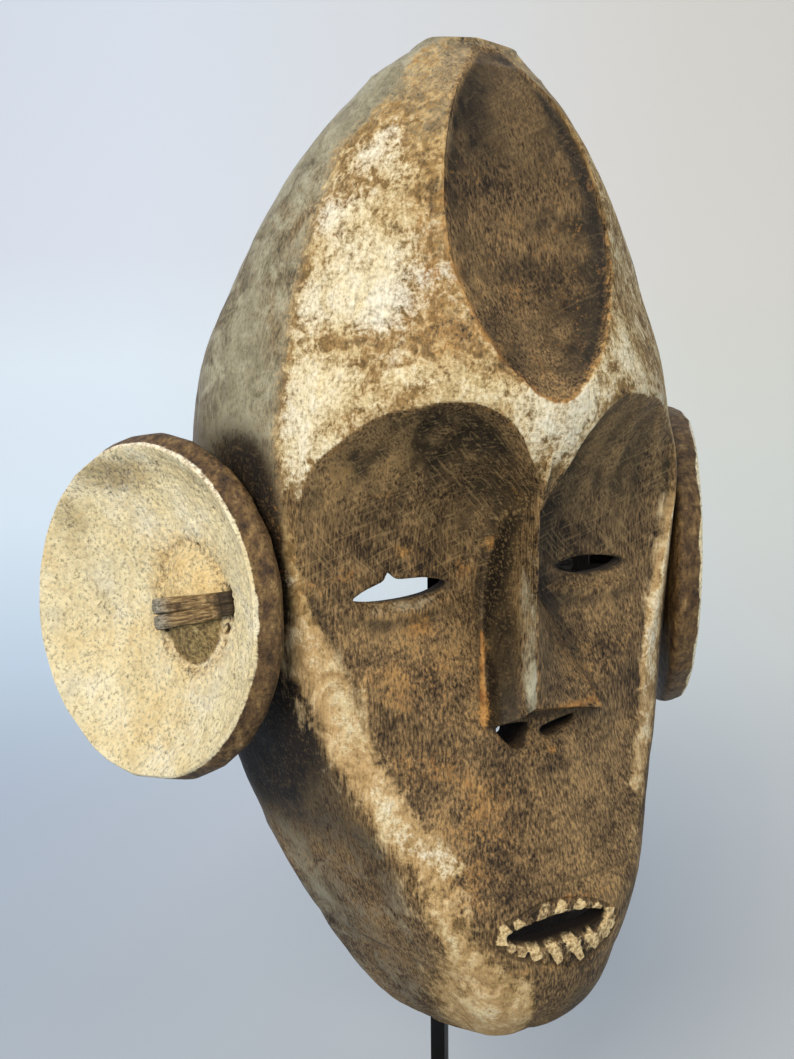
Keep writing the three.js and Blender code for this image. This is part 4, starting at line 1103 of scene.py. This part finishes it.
# Inside the hollow the wood was left bare: brown, with dark smears, and painted shade nearly black round the
# small holes
bare = node(tree, "ValToRGB", {"Fac": body}, stops=[(0.3, "#0d0a07"), (0.5, "#241b13"), (0.7, "#44351f")])
hole_shade = node(tree, "Attribute", attribute_name="hole", out="Fac")
bare = node(tree, "Mix", {0: hole_shade, 6: bare, 7: linear("#120a06")}, data_type="RGBA", out=2)
outside_share = node(tree, "Attribute", attribute_name="outside", out="Fac")
colour = node(tree, "Mix", {0: outside_share, 6: bare, 7: colour}, data_type="RGBA", out=2)
rough = node(tree, "Mix", {0: outside_share, 2: 0.9, 3: rough})
surfaced(tree, colour, rough, 0.22, height, 0.7, 0.0005)
dressed(mask, wood, 42)
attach(mask, "root")
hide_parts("mask")

# The dish ears
# Each is one wooden dish, turned and then trimmed with a knife so that its edge has soft facets. The inside
# has a lump left standing in the middle for the tie, and a thick pitted crust of kaolin up to the worn rim.
dish_floor = through(
    (0, 17), (14, 16.6), (28, 14.4), (42, 10.5), (53, 5.5), (57.5, 2.4), (60, 0.5), (61, 0.05))
DISH_EDGE = [
    (61.5, 0.1), (61.9, 0.4), (62.3, 1), (62.8, 1.9), (63.2, 3), (63.8, 4.3), (64.2, 5.6), (64.45, 6.8),
    (64.5, 7.7), (64.4, 8.5), (64, 9.3), (63.3, 9.9), (62, 10.4)]
dish_back = through((0, 21), (20, 20), (40, 16.4), (54, 12.5), (62, 10.4))
FLOOR_EDGE = 61
KNIFE_CUTS = 25
BOSS_HALF_WIDTH = 18.5
BOSS_HALF_HEIGHT = 22
BOSS_FOOT = 18
BOSS_RISE = 7
BOSS_FLANK = 40
PITTED_TO = 56
DISH_COLUMNS = {"right": 420, "left": 300}
KNIFE_SEED = {"right": 61, "left": 62}


def off_boss(ear, x, y):
    """Where points of the dish's frame lie from the middle of its boss, as shares of the boss's half sizes."""
    along, above = along_tie(ear, x, y, BOSS_AT)
    return along / BOSS_HALF_WIDTH, above / BOSS_HALF_HEIGHT


def kaolin_crust(ear, x, y):
    """How thick the crust stands on the face of a dish, and how deep its pits are, both from 0 to 1."""
    flat = np.stack([x, y, 0 * x], -1)
    reach = np.hypot(*off_boss(ear, x, y))
    crust = ramp(noise(flat, 4.2, 64) + 0.7 * noise(flat, 2.1, 65), -0.5, 0.5)
    grains = ramp(noise(flat, 1.5, 66) + 0.6 * noise(flat, 2.6, 67), 0.2, 0.75)
    patchy = 0.2 + 0.5 * ramp(noise(flat, 14, 68), -0.2, 0.6)
    return crust, grains * (patchy + 0.7 * np.exp(-(((reach - 1.1) / 0.2) ** 2)))


# Patches of stain on the crust, in the dish's own frame as seen from outside the mask's right ear
DISH_STAINS = [
    (-24, 0, 47, 13, 5, 0.8), (-46, 0, 29, 5, 8, 0.6), (-11, 0, 53, 16, 3, 0.4), (-11, 0, 17, 11, 5, 0.2),
    (-34, 0, -4, 9, 7, 0.35), (22, 0, 50, 9, 5, 0.3)]
DISH_BLUE = [
    (-36, 0, 6, 6, 6, 0.5), (-56, 0, -10, 4, 4, 0.6), (-42, 0, -38, 4, 4, 0.5), (-35, 0, -46, 5, 3, 0.4),
    (32, 0, -24, 5, 8, 0.3), (-52, 0, 12, 4, 5, 0.3), (-14, 0, 32, 7, 3, 0.4), (40, 0, 20, 4, 14, 0.25)]
DISH_GOLD = [
    (-56, 0, 12, 4, 4, 0.5), (-18, 0, -12, 7, 6, 0.4), (-2, 0, -48, 13, 5, 0.5), (-17, 0, 51, 11, 4, 0.3),
    (27, 0, 7, 4, 11, 0.4), (-34, 0, -21, 11, 5, 0.3), (1, 0, -35, 11, 5, 0.4), (-8, 0, 24, 12, 10, 0.25)]

# Thick kaolin slip dried on rough wood: chalk-matt cream, grainy, with brown showing in the bottom of each
# pit. The edge and back are bare handled wood with a soft sheen, and its rim is rubbed almost white, brightest
# along its top and one side as a painted highlight.
crusted, tree = new_material("thick_kaolin_slip_on_wood")
place = node(tree, "TexCoord", out="Object")
grainy = node(tree, "TexNoise", pattern(place, 1.5, 3.0, 0.7))
lumpy = node(tree, "TexNoise", pattern(place, 5, 4.0, 0.62))
cloudy = node(tree, "TexNoise", pattern(place, 22, 3.0, 0.5))
long_grain = node(tree, "Mapping", {"Vector": place, "Scale": (0.35, 0.35, 0.12)})
fibres = node(tree, "TexNoise", pattern(long_grain, 0.9, 4.0, 0.65))
bands = node(tree, "Mix", {0: 0.35, 2: fibres, 3: lumpy})
colour = node(tree, "ValToRGB", {"Fac": bands}, stops=[
    (0.34, "#2b2015"), (0.46, "#523d25"), (0.56, "#705836"), (0.68, "#967b50")])
rough = 0.55
only_front = node(tree, "Attribute", attribute_name="front", out="Fac")
stain_share = node(tree, "Math", {0: only_front, 1: 0.92}, operation="MULTIPLY")
for layer in [
    ("kaolin", 0.5, ((lumpy, 1.0), (grainy, 1.5)), 0.35, cloudy,
     [(0.35, "#d9cca4"), (0.5, "#e2d8b4"), (0.65, "#e6e1c8")], 0.92),
    ("gold", 0.5, ((lumpy, 2.2), (grainy, 2.0)), 0.7, grainy,
     [(0.3, "#b48d4c"), (0.6, "#e0c182")], 0.9, stain_share),
    ("blue", 0.5, ((lumpy, 1.8), (grainy, 1.4)), 0.6, cloudy,
     [(0.3, "#a9ada4"), (0.7, "#c3c6ba")], 0.9, stain_share),
    ("olive", 0.5, ((lumpy, 1.8), (grainy, 2.0)), 0.6, grainy,
     [(0.3, "#665a3c"), (0.65, "#98875c")], 0.9, stain_share),
    # The rubbed rim, with a painted highlight along its top and one side
    ("worn_edge", 0.5, ((lumpy, 1.2),), 0.3, grainy, [(0.3, "#b9a583"), (0.6, "#efe7d2")], 0.6),
]:
    colour, rough, _ = laid_on(tree, colour, rough, *layer)
in_pits = node(tree, "Attribute", attribute_name="pits", out="Fac")
in_pits = node(tree, "Math", {0: in_pits, 1: 0.22}, operation="MULTIPLY")
colour = node(tree, "Mix", {0: in_pits, 6: colour, 7: linear("#a2865a")}, data_type="RGBA", out=2)
grit = node(tree, "ValToRGB", {"Fac": grainy}, stops=[(0.36, 0.45), (0.48, 0.93), (0.6, 1.16)])
colour = node(tree, "Mix", {0: 0.7, 6: colour, 7: grit}, data_type="RGBA", blend_type="MULTIPLY", out=2)
crumbs = node(tree, "Mix", {0: 0.4, 2: grainy, 3: lumpy})
surfaced(tree, colour, rough, 0.3, crumbs, 1.0, 0.0015)

for ear, (side, radius, *_) in EARS.items():
    count = DISH_COLUMNS[ear]
    front_r = np.concatenate([np.linspace(0.5, 57, 120), np.linspace(57.4, FLOOR_EDGE, 8)])
    back_r = np.linspace(FLOOR_EDGE, 0.5, 34)
    profile = np.array([*zip(front_r, dish_floor(front_r)), *DISH_EDGE, *zip(back_r, dish_back(back_r))])
    order = np.arange(len(profile))
    is_front = (order < len(front_r))[:, None]
    edge_end = len(front_r) + len(DISH_EDGE)
    is_edge = ramp(order, len(front_r) - 8, len(front_r) + 3) * ramp(order, edge_end + 12, edge_end)
    is_edge = is_edge[:, None]
    angle = np.linspace(0, 2 * np.pi, count, endpoint=False)
    # Knife facets round the edge, each a little flatter than the circle
    draw = np.random.default_rng(KNIFE_SEED[ear])
    cuts = np.sort((np.arange(KNIFE_CUTS) + draw.uniform(-0.3, 0.3, KNIFE_CUTS)) * 2 * np.pi / KNIFE_CUTS)
    cut = np.searchsorted(cuts, angle, side="right") - 1
    half = np.mod(np.roll(cuts, -1)[cut] - cuts[cut], 2 * np.pi) / 2
    facet = np.cos(half) / np.cos(np.mod(angle - cuts[cut] - half + np.pi, 2 * np.pi) - np.pi)
    radial = profile[:, :1] * (1 + is_edge * (0.8 * (facet - 1) - 0.003))
    depth = np.repeat(profile[:, 1:], count, 1)
    spots = np.stack([radial * np.cos(angle), radial * np.sin(angle), depth], -1)
    radial = radial * (1 + is_edge * 0.004 * noise(spots, 17, 63))
    # The boss, and the crust with its pits, on the face of the dish
    scale = radius / PROFILE_RADIUS
    x, y = radial * np.cos(angle) * scale, radial * np.sin(angle) * scale
    reach = np.hypot(*off_boss(ear, x, y))
    lump = BOSS_FOOT - BOSS_RISE * np.sqrt(np.maximum(0, 1 - reach ** 2))
    lump += BOSS_FLANK * np.maximum(0, reach - 1)
    with_boss = 0.9 * np.exp(-(((reach - 1.06) / 0.09) ** 2)) - deeper(-depth, -lump, 1.0)
    crust, pits = kaolin_crust(ear, x, y)
    flat = np.stack([x, y, 0 * x], -1)
    rough = -0.2 * crust + 0.5 * pits + 0.5 * noise(flat, 21, 69) + 0.28 * noise(flat, 8, 70)
    rough += 0.3 * noise(flat, 1.7, 74) + 0.22 * noise(flat, 3.1, 75)
    rough *= ramp(radial, 60.6, PITTED_TO) * np.where(reach < 1, 0.45, 1)
    depth = np.where(is_front, with_boss + rough, depth + 0.25 + 0.25 * noise(spots, 7, 71))
    shift = askew(ear, depth)
    dish = loft("dish_" + ear, on_ear(ear, np.stack([x + shift[..., 0], y + shift[..., 1], -depth], -1)))
    combined(dish, tie_slots(ear), "DIFFERENCE")
    # Where each layer lies on it
    x, y, out = in_dish_frame(ear, vertex_places(dish))
    pits = kaolin_crust(ear, x, y)[1]
    wide, tall = off_boss(ear, x, y)
    x, y = x / scale, y / scale
    r = np.hypot(x, y)
    reach = np.hypot(wide, tall)
    under_tie = 1.1 * ramp(reach, 1.02, 0.9) * ramp(tall, 0.08, -0.12)
    front = ramp(-out - np.where(r < FLOOR_EDGE, dish_floor(r), 0.6), 2.6, 1.4) * ramp(r, 62.1, 61.5)
    # Painted highlight on the rim's top and outer side, over the wear of handling
    handled_and_lit = 1.3 * ramp(y / r, 0.6, 0.92) + 0.7 * ramp(side * x / r, 0.5, 0.9) * ramp(y, -25, 10)
    handled_and_lit += 0.3 * noise(np.stack([x, y, 0 * x], -1), 16, 72)
    at = np.stack([-side * x, 0 * x, y], -1)
    stains, blue, gold = (patched(at, patches, DISH_SPREAD) for patches in (DISH_STAINS, DISH_BLUE, DISH_GOLD))
    kaolin = front * 1.6 - 0.6 - 0.15 * pits - under_tie - 0.5 * stains
    kaolin -= 0.35 * np.exp(-(((reach - 1.08) / 0.1) ** 2))
    gold += 0.5 * np.exp(-(((reach - 1.1) / 0.25) ** 2)) - 0.2
    gold += 0.8 * ramp(reach, 1.05, 0.7) * ramp(tall, 0, 0.3)
    for values, name in (
        (kaolin, "kaolin"), (pits * front, "pits"), (blue - 0.25, "blue"), (gold, "gold"),
        (stains - 0.3 + under_tie, "olive"), (front, "front"),
        (np.exp(-(((r - 61.4) / 0.5) ** 2)) * ramp(-out, 2.5, 0.5) * handled_and_lit, "worn_edge")):
        store(dish, name, values)
    dressed(dish, crusted, 50)
    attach(dish, "root")
    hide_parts("ear_" + ear)

# The ties
# Two flat strands of split cane lie side by side over the boss. Both ends go down through a slot into the
# hollow of the mask, which holds the dish on.
TIE_TOP = -8.6
STRAND_HALF_WIDTH = 2.3
STRAND_HALF_THICKNESS = 1.15
STRAND_SIDES = 36
STRAND_SPACING = 2.5
TIE_BEND = 1.9
FRONT_END_DEPTH = -43
BACK_END_DEPTH = -60


def strand(side, offset, seed):
    """One strand in the boss's frame, from the end in the front slot over the boss and down the back one."""
    t = np.linspace(1, -1, 70)
    over = np.stack([t * (TIE_HALF_SPAN - 1.6), TIE_TOP - 1 - 2.6 * np.abs(t) ** 3], -1)
    turn = np.linspace(0, np.pi / 2, 9)[1:]
    bend = TIE_BEND * np.stack([np.sin(turn), np.cos(turn) - 1], -1)
    front_end = np.linspace(FRONT_END_DEPTH, over[0, 1] - 2.2, 40)
    back_end = np.linspace(over[-1, 1] - 2.2, BACK_END_DEPTH, 60)
    down_front = np.stack([np.full(40, over[0, 0] + TIE_BEND), front_end], -1)
    down_back = np.stack([np.full(60, over[-1, 0] - TIE_BEND), back_end], -1)
    path = np.concatenate([down_front, (over[0] + bend)[::-1], over, over[-1] + bend * (-1, 1), down_back])
    run = run_of(path)
    drawn = np.stack([run, 0 * run, 0 * run], -1)
    apart = np.interp(path[:, 0], [-18, 18], [1.22, 0.88])
    spread = np.interp(path[:, 0], [-18, 18], [1.24, 1.0])
    sideways = offset * apart * (1 + 0.05 * noise(drawn, 19, seed)) + 0.2 * noise(drawn, 11, seed + 1)
    angle = np.linspace(0, 2 * np.pi, STRAND_SIDES, endpoint=False)
    round_x = np.sign(np.cos(angle)) * np.abs(np.cos(angle)) ** 0.75
    round_y = np.sign(np.sin(angle)) * np.abs(np.sin(angle)) ** 0.75
    skin = np.stack(np.broadcast_arrays(run[:, None] / 26, 3.2 * np.cos(angle), 3.2 * np.sin(angle)), -1)
    fibre = 1 + 0.085 * noise(skin, 0.9, seed + 2) + 0.06 * noise(skin, 0.35, seed + 3)
    across = STRAND_HALF_WIDTH * (spread * (1 + 0.06 * noise(drawn, 14, seed + 4)))[:, None] * round_x * fibre
    thick = STRAND_HALF_THICKNESS * (1 + 0.14 * noise(drawn, 9, seed + 5))[:, None] * round_y * fibre
    lift = thick[..., None] * left_of(path)[:, None]
    x = -side * (path[:, :1] + lift[..., 0])
    return np.stack([x, sideways[:, None] + across, path[:, 1:] + lift[..., 1]], -1)


# Split cane: a hard straw-coloured skin in long fibres, with a painted grey highlight towards one end and
# painted shade at the other where it goes into the slot, and dark with handling in every groove.
cane, tree = new_material("split_cane")
along = node(tree, "Attribute", attribute_name="along_strand", out="Vector")
long_fibres = node(tree, "Mapping", {"Vector": along, "Scale": (0.07, 1, 1)})
fibres = node(tree, "TexNoise", {"Vector": long_fibres, "Scale": 1.5, "Detail": 4.0, "Roughness": 0.7})
stains = node(tree, "TexNoise", {"Vector": along, "Scale": 0.22, "Detail": 3.0, "Roughness": 0.6})
# Painted grey highlight towards one end of the tie
greyed = node(tree, "Attribute", attribute_name="greyed", out="Fac")
tan = node(tree, "ValToRGB", {"Fac": fibres}, stops=[(0.34, "#3a2c1d"), (0.48, "#7a6240"), (0.64, "#b39a6c")])
grey = node(tree, "ValToRGB", {"Fac": fibres}, stops=[(0.34, "#413d36"), (0.5, "#8b8679"), (0.64, "#b5b0a2")])
colour = node(tree, "Mix", {0: greyed, 6: tan, 7: grey}, data_type="RGBA", out=2)
smear = node(tree, "MapRange", {0: stains, 1: 0.5, 2: 0.68, 4: 0.75})
colour = node(tree, "Mix", {0: smear, 6: colour, 7: linear("#3b2b1a")}, data_type="RGBA", out=2)
# Painted shade where the strands go down into the far slot
shaded = node(tree, "Attribute", attribute_name="shaded", out="Fac")
colour = node(tree, "Mix", {0: shaded, 6: colour, 7: linear("#1a120b")}, data_type="RGBA", out=2)
surfaced(tree, colour, 0.6, 0.3, fibres, 0.8, 0.0006)

for ear, (side, *_) in EARS.items():
    tie, other = (
        loft("cane_tie_" + ear, on_ear(ear, on_tie(ear, strand(side, offset, seed))))
        for offset, seed in ((STRAND_SPACING, 81), (-STRAND_SPACING, 91)))
    both = bmesh.new()
    both.from_mesh(tie.data)
    both.from_mesh(other.data)
    both.to_mesh(tie.data)
    both.free()
    bpy.data.objects.remove(other)
    x, y, out = in_dish_frame(ear, vertex_places(tie))
    lengthwise, crosswise = along_tie(ear, x, y, TIE_AT)
    bent = np.maximum(0, -out - 10) * np.sign(lengthwise)
    unrolled = np.stack([lengthwise + bent, crosswise, out * (np.abs(lengthwise) < 18)], -1)
    tie.data.attributes.new("along_strand", "FLOAT_VECTOR", "POINT").data.foreach_set(
        "vector", unrolled.astype(np.float32).ravel())
    # Painted grey highlight towards one end
    store(tie, "greyed", ramp(side * lengthwise, 4, 17))
    # Painted shade where the strands go down into the far slot
    store(tie, "shaded", 0.85 * ramp(side * lengthwise, -14, -18))
    dressed(tie, cane)
    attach(tie, "root")
    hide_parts("tie_" + ear)

# The stand
# A black square steel bar stands on its corner in a heavy foot plate, with one welded arm under the crown
# and one inside the chin. Bar and plate are sprayed with the same gloss black paint.
BAR_SIDE = 6.35
BAR_Y = 30
BAR_FOOT_Z = 8
BAR_TOP_Z = 452.5
ARM_SIDE = 5
ARMS = [(450, -16), (137, -22)]
EDGE_RADIUS = 0.6


def rounded_square(side, radius, turned):
    """The outline of a square with rounded corners, turned by an angle."""
    corner = turned + np.arange(4)[:, None] * np.pi / 2
    turn = corner + np.linspace(0, np.pi / 2, 5)
    reach = (side / 2 - radius) * math.sqrt(2)
    return np.stack([
        reach * np.cos(corner + np.pi / 4) + radius * np.cos(turn),
        reach * np.sin(corner + np.pi / 4) + radius * np.sin(turn)], -1).reshape(-1, 2)


def steel_rod(name, side, turned, low, high, place):
    """A square rod with worn edges and ends; place turns outline points and a length into stand points."""
    outline = rounded_square(side, EDGE_RADIUS, turned)
    levels = [
        (low, 0.9), (low + EDGE_RADIUS, 1), *[(level, 1) for level in np.linspace(low + 1, high - 1, 12)],
        (high - EDGE_RADIUS, 1), (high, 0.9)]
    return loft(name, np.array([
        place(outline * scale, np.full(len(outline), float(level))) for level, scale in levels]) - ROOT)


def standing(flat, up):
    """The places of a rod that stands where the bar does."""
    return np.stack([flat[:, 0], flat[:, 1] + BAR_Y, up], -1)


bar = steel_rod("steel_bar", BAR_SIDE, math.pi / 4, BAR_FOOT_Z, BAR_TOP_Z, standing)
arms = [
    steel_rod("arm", ARM_SIDE, 0, tip, BAR_Y, lambda flat, along, height=height: np.stack(
        [flat[:, 0], along, flat[:, 1] + height], -1))
    for height, tip in ARMS]
combined(bar, arms, "UNION")

BASE_WIDTH = 150
BASE_DEPTH = 130
BASE_HEIGHT = 20
BASE_BEVEL = 1.6
unit = rounded_square(2, 0.04, 0)
lower = [
    (BASE_BEVEL * (1 - math.sin(turn)), BASE_BEVEL * (1 - math.cos(turn)))
    for turn in np.linspace(0, np.pi / 2, 6)]
steps = lower + [(inset, BASE_HEIGHT - height) for inset, height in lower[::-1]]
plate = loft("foot_plate", np.array([
    at_height(unit * (BASE_WIDTH / 2 - inset, BASE_DEPTH / 2 - inset), height)
    for inset, height in steps]) - ROOT)
socket = steel_rod("socket", BAR_SIDE + 2 * FIT, math.pi / 4, BAR_FOOT_Z - FIT, BASE_HEIGHT + 5, standing)
combined(plate, [socket], "DIFFERENCE")

# Gloss black paint sprayed on steel: nearly black, shiny, with a fine orange-peel that softens the
# reflections.
paint, tree = new_material("gloss_black_sprayed_steel")
place = node(tree, "TexCoord", out="Object")
peel = node(tree, "TexNoise", pattern(place, 1.6, 2.0, 0.5))
dust = node(tree, "TexNoise", pattern(place, 14, 5.0, 0.7))
tone = node(tree, "ValToRGB", {"Fac": dust}, stops=[(0.4, "#050506"), (0.7, "#111113")])
gloss = node(tree, "MapRange", {0: dust, 3: 0.28, 4: 0.5})
surfaced(tree, tone, gloss, 0.2, peel, 0.12, 0.0002)
for piece, cad_node in ((bar, "stand_bar"), (plate, "stand_base")):
    dressed(piece, paint, 35)
    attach(piece, "root")
    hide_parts(cad_node)
